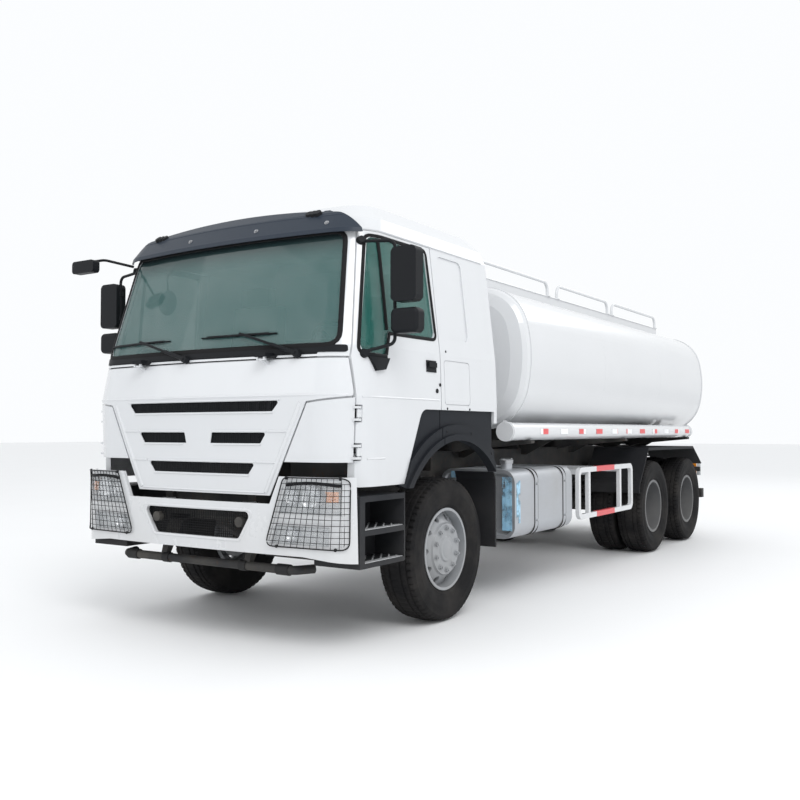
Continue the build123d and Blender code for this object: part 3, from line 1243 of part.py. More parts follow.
def arch_trim(outline):
    """Arch panel within an outline from the side: a plate with a flared lip over the tyre."""
    with BuildPart() as trim:
        add(side_plate(*ARCH_PLATE, outline))
        add(arch_band(outline, FLARE_X, ARCH_R + FLARE_BAND))
        add(arch_band(outline, FLARE_X - FLARE_STEP, SHOULDER_R))
        add(arch_cutter(ARCH_R), mode=Mode.SUBTRACT)
    return trim.part


with BuildPart() as arch_panels:
    add(arch_trim(((SIDE_FRONT, ARCH_TOP), (ARCH_REAR, ARCH_TOP), (ARCH_REAR, 1040),
                   (SIDE_FRONT, 1040))))
    mirror(about=Plane.YZ)
keep(arch_panels, "arch_panels")

# Dashboard with the steering column and its pin
STEER_AT = (700.0, from_axle(-700), 1950.0)
STEER_LEAN = Vector(0, -0.77, -0.64)
STEER_PIN_R = 12.0
COLUMN_R = 30.0
DASH_HALF = 1068.0
with BuildPart() as dashboard:
    add(side_plate(-DASH_HALF, DASH_HALF, (
        (from_axle(-1330), 1440), (from_axle(-1330), 1905), (from_axle(-1020), 1925),
        (from_axle(-885), 1865), (from_axle(-930), 1700), (from_axle(-1080), 1440))))
    add(CAB_INSIDE, mode=Mode.INTERSECT)
    bar(-TUNNEL_HALF - SEAT_GAP, TUNNEL_HALF + SEAT_GAP, from_axle(-1400), from_axle(-700),
        1400, TUNNEL_TOP + SEAT_GAP, mode=Mode.SUBTRACT)
    column_top = Vector(*STEER_AT) + STEER_LEAN * 42
    column_foot = Vector(*STEER_AT) + STEER_LEAN * 290
    add(straight_rod(COLUMN_R, column_foot, column_top))
    add(straight_rod(STEER_PIN_R, column_foot, Vector(*STEER_AT) + STEER_LEAN * 3))
keep(dashboard, "dashboard")

RIM_OF_WHEEL = 220.0
with BuildPart(Plane(origin=STEER_AT, x_dir=(1, 0, 0), z_dir=STEER_LEAN)) as steering_wheel:
    Torus(RIM_OF_WHEEL, 15)
    with Locations((0, 0, 8)):
        Cylinder(48, 56)
    for turn in (0, 120, 240):
        with Locations(Location((0, 0, 0), (0, 0, turn)) * Location((120, 0, 0))):
            Box(200, 32, 10)
    with Locations((0, 0, 20)):
        Cylinder(STEER_PIN_R + RUNNING_GAP, 40, mode=Mode.SUBTRACT)
keep(steering_wheel, "steering_wheel")

# Two seats and the bunk behind them
SEAT_X = 720.0
with BuildPart() as seats_and_bunk:
    for side in (-1, 1):
        near, far = side * SEAT_X - 250, side * SEAT_X + 250
        add(side_plate(near + 60, far - 60, ((from_axle(-430), CAB_FLOOR_Z),
                                             (from_axle(-60), CAB_FLOOR_Z),
                                             (from_axle(-60), 1690), (from_axle(-430), 1690))))
        add(side_plate(near, far, (
            (from_axle(-520), 1680), (from_axle(-530), 1800), (from_axle(-90), 1790),
            (from_axle(0), 2420), (from_axle(90), 2420), (from_axle(40), 1690))))
    bar(-1130, 1130, from_axle(160), from_axle(590), CAB_FLOOR_Z, 1860)
    bar(-TUNNEL_HALF - SEAT_GAP, TUNNEL_HALF + SEAT_GAP, from_axle(100), from_axle(640), 1400,
        TUNNEL_TOP + SEAT_GAP, mode=Mode.SUBTRACT)
keep(seats_and_bunk, "seats_and_bunk")

# Look-down mirror on an arm at the front corner
LOOK_ARM = ((-1040.0, from_axle(-1045), 2645.0), (-1190.0, from_axle(-1200), 2690.0),
            (-1200.0, from_axle(-1385), 2640.0))
with BuildPart() as front_mirror:
    add(rod(10, LOOK_ARM, 60))
    with Locations((-1165, from_axle(-1392), 2602)):
        Box(240, 60, 92)
    fillet(front_mirror.edges().filter_by(Axis.Y), 25)
    add(CAB_OUTSIDE, mode=Mode.SUBTRACT)
keep(front_mirror, "front_mirror")

# Front lid: a thin sheet with three slots that narrow downwards and a ledge under each
LEDGE_DEPTH = 14.0
LEDGE = 8.0
LID_END = DOOR_FRONT - SEAM - 6.0
with BuildPart() as grille_lid:
    add(layer(cab_body, 0.0, LID_SHEET))
    add(front_region(LID_OUTLINE, radius=10), mode=Mode.INTERSECT)
    bar(-WIDE, WIDE, from_axle(-1600), LID_END, LID_FOOT - 50, LID_TOP + 50,
        mode=Mode.INTERSECT)
    for head, foot, wide, narrow in MASK_SLOTS:
        add(front_region(mirrored(((wide, head), (narrow, foot))), radius=12),
            mode=Mode.SUBTRACT)
        add(shared(layer(cab_body, 1.0, LEDGE_DEPTH),
                   front_region(mirrored(((narrow + 20, foot), (narrow + 12, foot - LEDGE))))))
    add(shared(layer(cab_body, 0.0, LID_SHEET), front_region(mirrored((
        (SLOT_PAD_HALF + 14, MASK_SLOTS[1][0] + 30), (SLOT_PAD_HALF - 14,
                                                      MASK_SLOTS[1][1] - 30))))))
    for side in (-1, 1):
        near, far = side * LID_HINGE_X - 16, side * LID_HINGE_X + 16
        add(side_plate(near, far, (
            (LID_AXIS[0] - 9, LID_AXIS[1]), (LID_AXIS[0] - 4, LID_AXIS[1] - 9),
            (LID_AXIS[0] + 56, LID_AXIS[1] - 32), (LID_AXIS[0] + 56, LID_AXIS[1] - 14),
            (LID_AXIS[0] + 8, LID_AXIS[1] + 5), (LID_AXIS[0], LID_AXIS[1] + 9))))
        with BuildSketch(across(near, *LID_AXIS)):
            Circle(LID_PIN + RUNNING_GAP)
        extrude(amount=32, mode=Mode.SUBTRACT)
keep(grille_lid, "grille_lid")

# Doors: panel with window opening and hinge sleeves, glass, arch trim and mirrors
with BuildPart() as door_panel:
    add(shared(CAB_SKIN, door_block(0.0)))
    add(window_block(0.0), mode=Mode.SUBTRACT)
    for hinge_z in HINGE_Z:
        bar(DOOR_HINGE[0] - 90, DOOR_HINGE[0] + 60, DOOR_FRONT - 20, DOOR_HINGE[1] + 26,
            hinge_z - NOTCH_HALF, hinge_z + NOTCH_HALF, mode=Mode.SUBTRACT)
        bar(DOOR_HINGE[0] - 9, DOOR_HINGE[0] + 9, DOOR_HINGE[1], DOOR_HINGE[1] + 40,
            hinge_z - SLEEVE_HALF, hinge_z + SLEEVE_HALF)
        with Locations((DOOR_HINGE[0], DOOR_HINGE[1], hinge_z)):
            Cylinder(HINGE_EAR_R - 1, 2 * SLEEVE_HALF)
            Cylinder(HINGE_PIN_R + RUNNING_GAP, 2 * SLEEVE_HALF, mode=Mode.SUBTRACT)
save_pair(door_panel, "door_panel")

with BuildPart() as door_glass:
    add(layer(cab_body, 12.0, 12.0 + GLASS))
    add(window_block(-SEAT_GAP), mode=Mode.INTERSECT)
save_pair(door_glass, "door_glass")

with BuildPart() as door_arch:
    add(arch_trim(((DOOR_REAR, ARCH_TOP), (DOOR_KNEE - 150, ARCH_TOP),
                   (DOOR_TOE - 100, DOOR_SILL), (DOOR_TOE + 8, DOOR_SILL - 30),
                   (DOOR_REAR, DOOR_SILL - 30))))
    add(door_block(0.0), mode=Mode.SUBTRACT)
save_pair(door_arch, "door_arch")

MIRROR_TUBE = ((1090.0, from_axle(-975), 2615.0), (1310.0, from_axle(-945), 2600.0),
               (1310.0, from_axle(-945), 1940.0), (1195.0, from_axle(-1110), 1880.0))
# Heads: middle across, middle height, width, height
MIRROR_HEADS = ((1400.0, 2375.0, 190.0, 350.0), (1400.0, 2080.0, 205.0, 160.0))
MIRROR_DEPTH = 90.0
with BuildPart() as door_mirrors:
    for head_x, head_z, wide, high in MIRROR_HEADS:
        with BuildSketch(Plane.XZ.offset(-from_axle(-945) - MIRROR_DEPTH / 2)):
            with Locations((head_x, head_z)):
                RectangleRounded(wide, high, 38)
        extrude(amount=MIRROR_DEPTH)
    fillet(door_mirrors.faces().sort_by(Axis.Y)[0].edges(), 24)
    add(rod(11, MIRROR_TUBE, 50))
    add(CAB_OUTSIDE, mode=Mode.SUBTRACT)
save_pair(door_mirrors, "door_mirrors")
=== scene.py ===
"""Looks for the three-axle tanker truck: finishes, treaded tyres, trim, lamps and small fittings."""

import math

import bmesh
import bpy
from mathutils import Matrix, Vector
from mathutils.bvhtree import BVHTree


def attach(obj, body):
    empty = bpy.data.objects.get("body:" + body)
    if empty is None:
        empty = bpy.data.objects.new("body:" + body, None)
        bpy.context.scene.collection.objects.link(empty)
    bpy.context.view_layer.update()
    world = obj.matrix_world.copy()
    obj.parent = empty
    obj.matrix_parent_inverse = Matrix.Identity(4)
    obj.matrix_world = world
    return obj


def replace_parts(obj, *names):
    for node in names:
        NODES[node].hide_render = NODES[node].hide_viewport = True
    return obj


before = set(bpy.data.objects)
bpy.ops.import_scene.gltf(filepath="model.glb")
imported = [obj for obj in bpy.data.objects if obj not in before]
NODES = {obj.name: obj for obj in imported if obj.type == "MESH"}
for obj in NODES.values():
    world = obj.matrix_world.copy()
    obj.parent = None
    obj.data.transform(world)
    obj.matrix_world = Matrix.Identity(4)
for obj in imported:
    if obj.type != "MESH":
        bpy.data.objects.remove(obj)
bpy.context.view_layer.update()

FRONT_Y = -2.764
DRIVE_Y = FRONT_Y + 4.6
TAIL_Y = DRIVE_Y + 1.35
HUB_Z = 0.522
SIDES = (("left", 1), ("right", -1))


def operator(operation, reflected=False):
    """An arithmetic operator between a Value and a number or another Value."""
    def work(self, other):
        return self.maths(operation, *((other, self) if reflected else (self, other)))
    return work


class Value:
    """A number carried by a shader node, used in ordinary arithmetic."""

    def __init__(self, finish, socket):
        self.finish = finish
        self.socket = socket

    def maths(self, operation, *terms):
        return self.finish.node("ShaderNodeMath", {"operation": operation},
                                dict(enumerate(terms)))

    __add__, __radd__ = operator("ADD"), operator("ADD", True)
    __sub__, __rsub__ = operator("SUBTRACT"), operator("SUBTRACT", True)
    __mul__, __rmul__ = operator("MULTIPLY"), operator("MULTIPLY", True)
    __truediv__, __rtruediv__ = operator("DIVIDE"), operator("DIVIDE", True)

    def over(self, limit):
        """One where it is over the limit, nought elsewhere."""
        return self.maths("GREATER_THAN", self, limit)

    def wave(self):
        return self.maths("SINE", self)

    def held(self):
        """Kept between nought and one."""
        return self.finish.node("ShaderNodeClamp", {}, {0: self})


class Finish:
    """One material, built up from nodes."""

    def __init__(self, name, **constants):
        self.material = bpy.data.materials.new(name)
        self.material.use_nodes = True
        self.tree = self.material.node_tree
        self.shader = self.tree.nodes["Principled BSDF"]
        for socket, value in constants.items():
            self.shader.inputs[socket.replace("_", " ")].default_value = value
        # The place on the truck, in metres, riding with each part
        self.place = self.node("ShaderNodeTexCoord", out="Object")

    def node(self, kind, settings=None, sockets=None, out=0):
        """A new node: its settings first, then values or links on its sockets."""
        made = self.tree.nodes.new(kind)
        for key, value in (settings or {}).items():
            setattr(made, key, value)
        for key, value in (sockets or {}).items():
            self.feed(made.inputs[key], value)
        return Value(self, made.outputs[out])

    def feed(self, socket, value):
        if isinstance(value, Value):
            self.tree.links.new(value.socket, socket)
        else:
            socket.default_value = value

    def set(self, name, value):
        self.feed(self.shader.inputs[name], value)

    def axis(self, i):
        return self.node("ShaderNodeSeparateXYZ", {}, {0: self.place}, out=i)

    def stretched(self, *scale):
        return self.node("ShaderNodeVectorMath", {"operation": "MULTIPLY"}, {0: self.place, 1: scale})

    def cloud(self, scale, detail=4.0, rough=0.55, place=None):
        return self.node("ShaderNodeTexNoise", {}, {"Vector": place or self.place, "Scale": scale,
                                                    "Detail": detail, "Roughness": rough})

    def cells(self, scale):
        return self.node("ShaderNodeTexVoronoi", {"feature": "F1"},
                         {"Vector": self.place, "Scale": scale})

    def blend(self, amount, first, second):
        """Mixes two colours."""
        first, second = (c if isinstance(c, Value) else (*c, 1) for c in (first, second))
        return self.node("ShaderNodeMix", {"data_type": "RGBA"}, {0: amount, 6: first, 7: second}, 2)

    def raised(self, height, depth, strength=1.0):
        bump = self.node("ShaderNodeBump", {}, {"Height": height, "Distance": depth,
                                                "Strength": strength})
        self.set("Normal", bump)


DUST = (0.32, 0.29, 0.25)
RUST = (0.16, 0.07, 0.03)
LENS_RIBS = 240.0
THREADS = 900.0


def toned(colour, amount):
    """A lighter or darker shade of a colour."""
    return [c * amount for c in colour]


def lacquer(name, colour, gloss, coat, grime=0.5, peel=0.0006, shine=0.5):
    """Sprayed paint: slight cloudiness, orange peel, dust that thickens towards the road."""
    f = Finish(name, Coat_Roughness=0.06, Specular_IOR_Level=shine)
    broad = f.cloud(1.3, 5.0)
    fine = f.cloud(26.0, 4.0)
    streak = f.cloud(1.0, 5.0, place=f.stretched(9.0, 9.0, 0.8))
    low = ((1.25 - f.axis(2)) * 1.1).held()
    dirt = ((low * 0.75 + 0.12) * (broad * 0.7 + streak * 0.7 - 0.2)).held() * grime
    tinted = f.blend(broad, toned(colour, 0.965), toned(colour, 1.02))
    f.set("Base Color", f.blend(dirt, tinted, DUST))
    f.set("Roughness", (fine * 0.05 + gloss - 0.025) + dirt * 0.4)
    f.set("Coat Weight", (coat - dirt * coat).held())
    f.raised(f.cloud(210.0, 2.0) + broad * 0.3, peel, 0.35)
    return f.material


def moulded(name, colour, rough, grain=380.0, dusty=0.35):
    """Moulded plastic: fine leather grain, a tone that varies at random and dust low down."""
    f = Finish(name, Specular_IOR_Level=0.1)
    broad = f.cloud(2.2, 5.0)
    low = ((1.3 - f.axis(2)) * 0.8).held()
    dirt = (low * broad * broad * 2.2).held() * dusty
    faded = f.blend(broad, toned(colour, 0.86), toned(colour, 1.2))
    f.set("Base Color", f.blend(dirt, faded, DUST))
    f.set("Roughness", (rough - 0.06) + broad * 0.12 + dirt * 0.2)
    f.raised(f.cells(grain) + f.cloud(grain * 0.5, 2.0) * 0.5, 0.0004, 0.5)
    return f.material


def bare_metal(name, colour, rough, metal=1.0, brushed=(3.0, 3.0, 60.0), dusty=0.3):
    """Rolled or brushed metal with a grain and dull patches."""
    f = Finish(name)
    grain = f.cloud(3.0, 4.0, place=f.stretched(*brushed))
    broad = f.cloud(3.0, 5.0)
    dirt = (broad * broad * 1.6 - 0.2).held() * dusty
    f.set("Base Color", f.blend(dirt, f.blend(grain, toned(colour, 0.85), colour), DUST))
    f.set("Metallic", (metal - dirt * 0.8).held())
    f.set("Roughness", grain * 0.14 + rough + dirt * 0.35)
    f.raised(grain, 0.0004, 0.4)
    return f.material


def road_grime(name, colour, rough, rust=0.2):
    """Chassis black: satin paint under road dust with a little rust on the corners."""
    f = Finish(name, Specular_IOR_Level=0.1)
    broad = f.cloud(3.5, 6.0)
    spots = (f.cloud(24.0, 5.0) - 0.58).held() * 6.0 * rust
    dirt = (broad * broad * 1.9 - 0.15).held() * 0.5
    base = f.blend(dirt, colour, toned(DUST, 0.5))
    f.set("Base Color", f.blend(spots.held(), base, RUST))
    f.set("Roughness", rough + dirt * 0.35 + spots * 0.1)
    f.raised(f.cloud(90.0, 3.0), 0.0008, 0.5)
    return f.material


def tinted_glass(name, colour, alpha, band=None):
    """Tinted safety glass with a faint film of dust; on the windscreen a painted shadow of the visor
    darkens the glass and makes it more opaque towards the top.
    """
    f = Finish(name, Roughness=0.04, IOR=1.5, Specular_IOR_Level=0.6)
    film = (f.cloud(3.0, 5.0) - 0.35).held() * 0.35
    if band:
        # Painted shadow of the visor: between the band's heights the windscreen turns near black and more
        # opaque towards the top
        shade = ((f.axis(2) - band[0]) / (band[1] - band[0])).held()
        f.set("Base Color", f.blend(shade, f.blend(film, colour, (0.42, 0.47, 0.46)),
                                    (0.012, 0.02, 0.022)))
        f.set("Alpha", (alpha + shade * (0.96 - alpha) + film * 0.12).held())
    else:
        f.set("Base Color", f.blend(film, colour, (0.4, 0.45, 0.44)))
        f.set("Alpha", (alpha + film * 0.12).held())
    return f.material


def lens(name, colour):
    """Moulded lamp lens with fine prisms under its face."""
    f = Finish(name, Roughness=0.08, IOR=1.49, Coat_Weight=0.8, Coat_Roughness=0.03)
    x, y, z = (f.axis(i) for i in range(3))
    prisms = ((x + y * 0.5) * LENS_RIBS).wave() * 0.5 + (z * LENS_RIBS).wave() * 0.5
    f.set("Base Color", f.blend((prisms * 0.5 + 0.5).held(), toned(colour, 0.6), colour))
    f.raised(prisms, 0.0008, 0.5)
    return f.material


def tyre_rubber():
    """Black rubber with patches of dust, a roughness that varies and a fine grain."""
    f = Finish("tyre_rubber", Specular_IOR_Level=0.08)
    broad = f.cloud(4.0, 6.0)
    fine = f.cloud(70.0, 4.0)
    dirt = ((broad - 0.42).held() * 2.4 + fine * 0.12).held() * 0.3
    f.set("Base Color", f.blend(dirt, (0.012, 0.012, 0.013), (0.11, 0.1, 0.09)))
    f.set("Roughness", (broad * 0.16 + 0.62) + dirt * 0.2)
    f.raised(fine + f.cells(240.0) * 0.4, 0.0006, 0.5)
    return f.material


def woven(name, colour):
    """Woven seat cloth with crossing threads."""
    f = Finish(name, Sheen_Weight=0.1)
    x, y, z = (f.axis(i) for i in range(3))
    threads = (x * THREADS).wave() * 0.5 + ((y + z) * THREADS).wave() * 0.5
    f.set("Base Color", f.blend((threads * 0.5 + 0.5).held(), toned(colour, 0.94), colour))
    f.set("Roughness", threads * 0.02 + 0.86)
    f.raised(f.cloud(60.0, 3.0), 0.0006, 0.4)
    return f.material


def striped(name, first, second, axis, pitch, start):
    """Reflective tape in two colours, with the honeycomb of its prisms."""
    f = Finish(name, Specular_IOR_Level=0.7)
    along = f.axis(axis)
    band = (((along - start) * (2 * math.pi / pitch)).wave()).over(0.0)
    comb = f.cells(420.0)
    f.set("Base Color", f.blend((comb * 0.12).held(), f.blend(band, first, second),
                                (0.85, 0.85, 0.85)))
    f.set("Roughness", comb * 0.2 + 0.25)
    f.raised(comb, 0.0003, 0.4)
    return f.material


def film_blue():
    """Scraps of thin blue shipping film, creased and torn at the edges."""
    f = Finish("shipping_film_blue", Specular_IOR_Level=0.7)
    crease = f.cloud(14.0, 6.0, 0.7)
    torn = (f.cloud(9.0, 4.0) - 0.36).held() * 5.0
    f.set("Base Color", f.blend(crease, (0.16, 0.42, 0.66), (0.5, 0.74, 0.86)))
    f.set("Roughness", crease * 0.3 + 0.22)
    f.set("Alpha", torn.held())
    f.raised(crease, 0.004, 0.8)
    return f.material


def pale_floor():
    """Plain pale studio floor."""
    f = Finish("studio_floor")
    f.set("Base Color", f.blend(f.cloud(0.8, 3.0), (0.86, 0.865, 0.87), (0.88, 0.885, 0.89)))
    f.set("Roughness", f.cloud(5.0, 3.0) * 0.08 + 0.6)
    f.raised(f.cloud(60.0, 2.0), 0.0003, 0.2)
    return f.material


WHITE = (0.63, 0.645, 0.665)
PAINT = lacquer("cab_white_paint", WHITE, 0.22, 0.7)
LID_PAINT = lacquer("front_lid_white_paint", WHITE, 0.2, 0.75, 0.4)
TANK_PAINT = lacquer("tank_white_paint", (0.64, 0.652, 0.668), 0.24, 0.6, 0.1, 0.00008)
VISOR = lacquer("visor_slate", (0.026, 0.035, 0.05), 0.4, 0.05, 0.1, shine=0.14)
FRAME_BLACK = road_grime("chassis_black", (0.022, 0.024, 0.027), 0.5)
CAST = road_grime("cast_iron_grey", (0.055, 0.056, 0.058), 0.6, 0.5)
STEP_GREY = moulded("step_charcoal", (0.018, 0.02, 0.024), 0.5, dusty=0.15)
BLACK = moulded("trim_black", (0.012, 0.013, 0.015), 0.45, dusty=0.1)
ARCH = moulded("arch_black", (0.014, 0.016, 0.02), 0.5, dusty=0.12)
GUARD_GREY = moulded("mudguard_grey", (0.016, 0.017, 0.02), 0.55, dusty=0.12)
RUBBER = moulded("seal_rubber", (0.012, 0.012, 0.013), 0.6, 200.0)
SILVER = lacquer("wheel_silver", (0.27, 0.285, 0.305), 0.3, 0.3, 0.4)
# Rear rims and their nuts get a darker grey than the front rims: painted shade standing in for the shadow
# in their deep dishes
RIM_GREY_WITH_PAINTED_SHADE = lacquer("wheel_grey_painted_shade", (0.1, 0.106, 0.115), 0.4, 0.1, 0.4, shine=0.25)
ALLOY = bare_metal("fuel_tank_alloy", (0.5, 0.52, 0.55), 0.36, 0.75)
STEEL = bare_metal("bolt_steel", (0.45, 0.46, 0.48), 0.32)
CHROME = bare_metal("reflector_chrome", (0.8, 0.81, 0.83), 0.06, 1.0, (1, 1, 1), 0.05)
SIDE_GLASS = tinted_glass("side_glass_green", (0.03, 0.14, 0.12), 0.62)
# Painted visor shadow on the windscreen, darkening from 2.5 m up to 2.66 m
SCREEN_GLASS = tinted_glass("windscreen_green", (0.07, 0.16, 0.155), 0.5, (2.5, 2.66))
CLEAR = tinted_glass("lamp_cover_clear", (0.75, 0.78, 0.8), 0.22)
MIRROR = bare_metal("mirror_silver", (0.85, 0.87, 0.88), 0.03, 1.0, (1, 1, 1), 0.04)
TYRE = tyre_rubber()
CLOTH = woven("seat_cloth", (0.09, 0.095, 0.11))
AMBER = lens("lens_amber", (0.95, 0.32, 0.03))
RED = lens("lens_red", (0.6, 0.015, 0.015))
WHITE_LENS = lens("lens_white", (0.82, 0.85, 0.87))
TAPE = striped("tape_red_white", (0.7, 0.015, 0.02), (0.85, 0.86, 0.87), 1, 0.62, FRONT_Y)
RED_TAPE = striped("tape_red", (0.62, 0.012, 0.02), (0.68, 0.02, 0.03), 2, 0.02, 0.0)
FILM = film_blue()

NODE_FINISHES = (
    (PAINT, "bumper cab_floor engine_tunnel cab_front cab_rear_wall cab_roof cab_sides"
            " door_panel_left door_panel_right"),
    (LID_PAINT, "grille_lid"),
    (TANK_PAINT, "hand_rails hose_tubes manhole_lid side_guards tank_barrel walkway"),
    (VISOR, "sun_visor"),
    (FRAME_BLACK, "battery_and_air_tanks ladder_frame rear_bumper tank_subframe"),
    (CAST, "axles engine_and_gearbox knuckle_left knuckle_right leaf_springs radiator"),
    (STEP_GREY, "cab_steps"),
    (GUARD_GREY, "dashboard mudguards"),
    (ARCH, "arch_panels door_arch_left door_arch_right"),
    (BLACK, "door_mirrors_left door_mirrors_right front_mirror lamp_guards lamps steering_wheel"
            " wiper_cowl"),
    (SILVER, "rim_front_left rim_front_right"),
    # Rear rims in the darker grey, painted shade of their deep dishes
    (RIM_GREY_WITH_PAINTED_SHADE, "rims_drive_left rims_drive_right rims_tail_left rims_tail_right"),
    (ALLOY, "fuel_tank"),
    (STEEL, "rear_ladder silencer"),
    (SIDE_GLASS, "door_glass_left door_glass_right"),
    (SCREEN_GLASS, "windscreen"),
    (TYRE, "tyre_front_left tyre_front_right tyres_drive_left tyres_drive_right"
           " tyres_tail_left tyres_tail_right"),
    (CLOTH, "seats_and_bunk"),
)
for finish, names in NODE_FINISHES:
    for name in names.split():
        NODES[name].data.materials.clear()
        NODES[name].data.materials.append(finish)


def placed(name, data):
    """A new object in the scene."""
    made = bpy.data.objects.new(name, data)
    bpy.context.scene.collection.objects.link(made)
    return made


def solid(name, build, finish, body, smooth=40.0, bevel=0.0):
    """A mesh piece: build fills a bmesh, then the piece gets its finish and rides its body."""
    bm = bmesh.new()
    build(bm)
    bmesh.ops.remove_doubles(bm, verts=bm.verts, dist=1e-5)
    bmesh.ops.recalc_face_normals(bm, faces=bm.faces)
    mesh = bpy.data.meshes.new(name)
    bm.to_mesh(mesh)
    bm.free()
    piece = placed(name, mesh)
    mesh.materials.append(finish)
    if bevel:
        edge = piece.modifiers.new("edges", "BEVEL")
        edge.width = bevel
        edge.segments = 2
        edge.limit_method = "ANGLE"
        edge.angle_limit = math.radians(35)
    if smooth:
        mesh.polygons.foreach_set("use_smooth", [True] * len(mesh.polygons))
        mesh.set_sharp_from_angle(angle=math.radians(smooth))
    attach(piece, body)
    return piece


def made_of(finish, body, smooth=40.0, bevel=0.0):
    """Makes the piece that the function under it builds, named as the function is."""
    return lambda build: solid(build.__name__, build, finish, body, smooth, bevel)


def block(bm, low, high):
    """A box between two corners."""
    low, high = Vector(low), Vector(high)
    place = Matrix.Translation((high + low) / 2) @ Matrix.Diagonal((*(high - low), 1))
    bmesh.ops.create_cube(bm, size=1.0, matrix=place)


def frame_along(direction, hint=Vector((0, 0, 1))):
    """Two directions square to a run, steady along it."""
    direction = direction.normalized()
    across = direction.cross(hint)
    if across.length < 1e-3:
        across = direction.cross(Vector((1, 0, 0)))
    across.normalize()
    return across, across.cross(direction).normalized()


def neighbours(run, i, closed):
    """The points before and after one point of a run; the end of an open run stands for itself."""
    before = run[i - 1] if i or closed else run[i]
    after = run[(i + 1) % len(run)] if i < len(run) - 1 or closed else run[i]
    return before, after


def join_rings(bm, rings, closed):
    """Faces between neighbouring rings, and a cap on both ends of an open run."""
    count = len(rings)
    for i in range(count if closed else count - 1):
        one, two = rings[i], rings[(i + 1) % count]
        for j in range(len(one)):
            k = (j + 1) % len(one)
            bm.faces.new((one[j], one[k], two[k], two[j]))
    if not closed:
        bm.faces.new(rings[0][::-1])
        bm.faces.new(rings[-1])


def sweep(bm, points, section, closed=False, hint=Vector((0, 0, 1))):
    """Carries a closed section of (across, up) offsets along a run of points."""
    points = [Vector(p) for p in points]
    rings = []
    for i, p in enumerate(points):
        before, after = neighbours(points, i, closed)
        across, up = frame_along(after - before, hint)
        rings.append([bm.verts.new(p + across * u + up * v) for u, v in section])
    join_rings(bm, rings, closed)


def ring(radius, sides=8):
    return [(radius * math.cos(2 * math.pi * i / sides), radius * math.sin(2 * math.pi * i / sides))
            for i in range(sides)]


def wire(bm, points, radius, sides=8, closed=False):
    """A round wire or tube along a run of points."""
    sweep(bm, points, ring(radius, sides), closed)


def turned(bm, centre, profile, segments=48, axis="X", side=1):
    """Turns a closed (out, radius) profile about an axis through a centre."""
    centre = Vector(centre)
    rings = []
    for i in range(segments):
        a = 2 * math.pi * i / segments
        c, s = math.cos(a), math.sin(a)
        row = []
        for out, radius in profile:
            place = {"X": (side * out, radius * c, radius * s),
                     "Y": (radius * c, side * out, radius * s),
                     "Z": (radius * c, radius * s, side * out)}[axis]
            row.append(bm.verts.new(centre + Vector(place)))
        rings.append(row)
    join_rings(bm, rings, True)


def prism(bm, centre, normal, radius, height, sides=6, turn=0.0, top=1.0):
    """A nut, stud or button standing on a surface."""
    centre, normal = Vector(centre), Vector(normal).normalized()
    u, v = frame_along(normal, Vector((0.02, 0, 1)))
    foot, head = [], []
    for i in range(sides):
        a = turn + 2 * math.pi * i / sides
        d = u * math.cos(a) + v * math.sin(a)
        foot.append(bm.verts.new(centre + d * radius))
        head.append(bm.verts.new(centre + d * radius * top + normal * height))
    join_rings(bm, (foot, head), False)


def surface_of(*names):
    """A search tree over CAD nodes, for laying trim on them."""
    verts, faces = [], []
    for name in names:
        mesh = NODES[name].data
        base = len(verts)
        verts += [v.co.copy() for v in mesh.vertices]
        faces += [[base + i for i in p.vertices] for p in mesh.polygons]
    return BVHTree.FromPolygons(verts, faces)


def rounded(points, radius, steps=5):
    """A closed outline with its corners rounded."""
    out = []
    count = len(points)
    for i in range(count):
        p = Vector(points[i])
        a = (Vector(points[i - 1]) - p)
        b = (Vector(points[(i + 1) % count]) - p)
        reach = min(radius / max(math.tan(a.angle(b) / 2), 0.05), a.length * 0.45, b.length * 0.45)
        start, end = p + a.normalized() * reach, p + b.normalized() * reach
        for k in range(steps + 1):
            t = k / steps
            out.append((start * (1 - t) ** 2) + p * (2 * t * (1 - t)) + end * t * t)
    return out


# Camera, floor and lights
CAMERA_PLACE = (4.502, -5.768 + FRONT_Y, 1.383)
HEADING = math.radians(33.18)
PITCH = math.radians(1.84)
FLOOR_REACH = 90.0
LIGHTS_AIM = Vector((0, -0.5, 1.2))
# Each light: name, place, size in metres, power in watts
LIGHTS = (("key", (9, -9, 11), 7.0, 850.0), ("fill", (-8, -14, 7), 9.0, 160.0),
          ("back", (4, 14, 12), 8.0, 300.0))


def aimed(thing, place, view):
    thing.location = place
    thing.rotation_mode = "QUATERNION"
    thing.rotation_quaternion = view.to_track_quat("-Z", "Y")


def studio():
    """The camera at the photograph's angle, a pale floor, a pale world and three soft lights."""
    camera = placed("camera", bpy.data.cameras.new("camera"))
    aimed(camera, CAMERA_PLACE, Vector((-math.sin(HEADING) * math.cos(PITCH),
                                        math.cos(HEADING) * math.cos(PITCH), math.sin(PITCH))))
    camera.data.sensor_width = 36.0
    camera.data.lens = 40.95
    camera.data.shift_y = 0.0018
    camera.data.clip_end = 400.0
    bpy.context.scene.camera = camera

    mesh = bpy.data.meshes.new("floor")
    bm = bmesh.new()
    bmesh.ops.create_grid(bm, x_segments=4, y_segments=4, size=FLOOR_REACH)
    bm.to_mesh(mesh)
    bm.free()
    floor = placed("floor", mesh)
    mesh.materials.append(pale_floor())

    world = bpy.data.worlds.new("studio")
    bpy.context.scene.world = world
    world.use_nodes = True
    back = world.node_tree.nodes["Background"]
    back.inputs["Color"].default_value = (0.97, 0.985, 1.0, 1)
    back.inputs["Strength"].default_value = 1.0
    for name, place, size, power in LIGHTS:
        light = bpy.data.lights.new(name, "AREA")
        light.size = size
        light.energy = power
        aimed(placed(name, light), place, LIGHTS_AIM - Vector(place))
    bpy.context.scene.view_settings.view_transform = "Standard"


studio()


# Tyres
PITCHES = 64
CROWN = 0.5215
TREAD_HALF = 0.119
GROOVES = (0.09, 0.044, -0.044, -0.09)
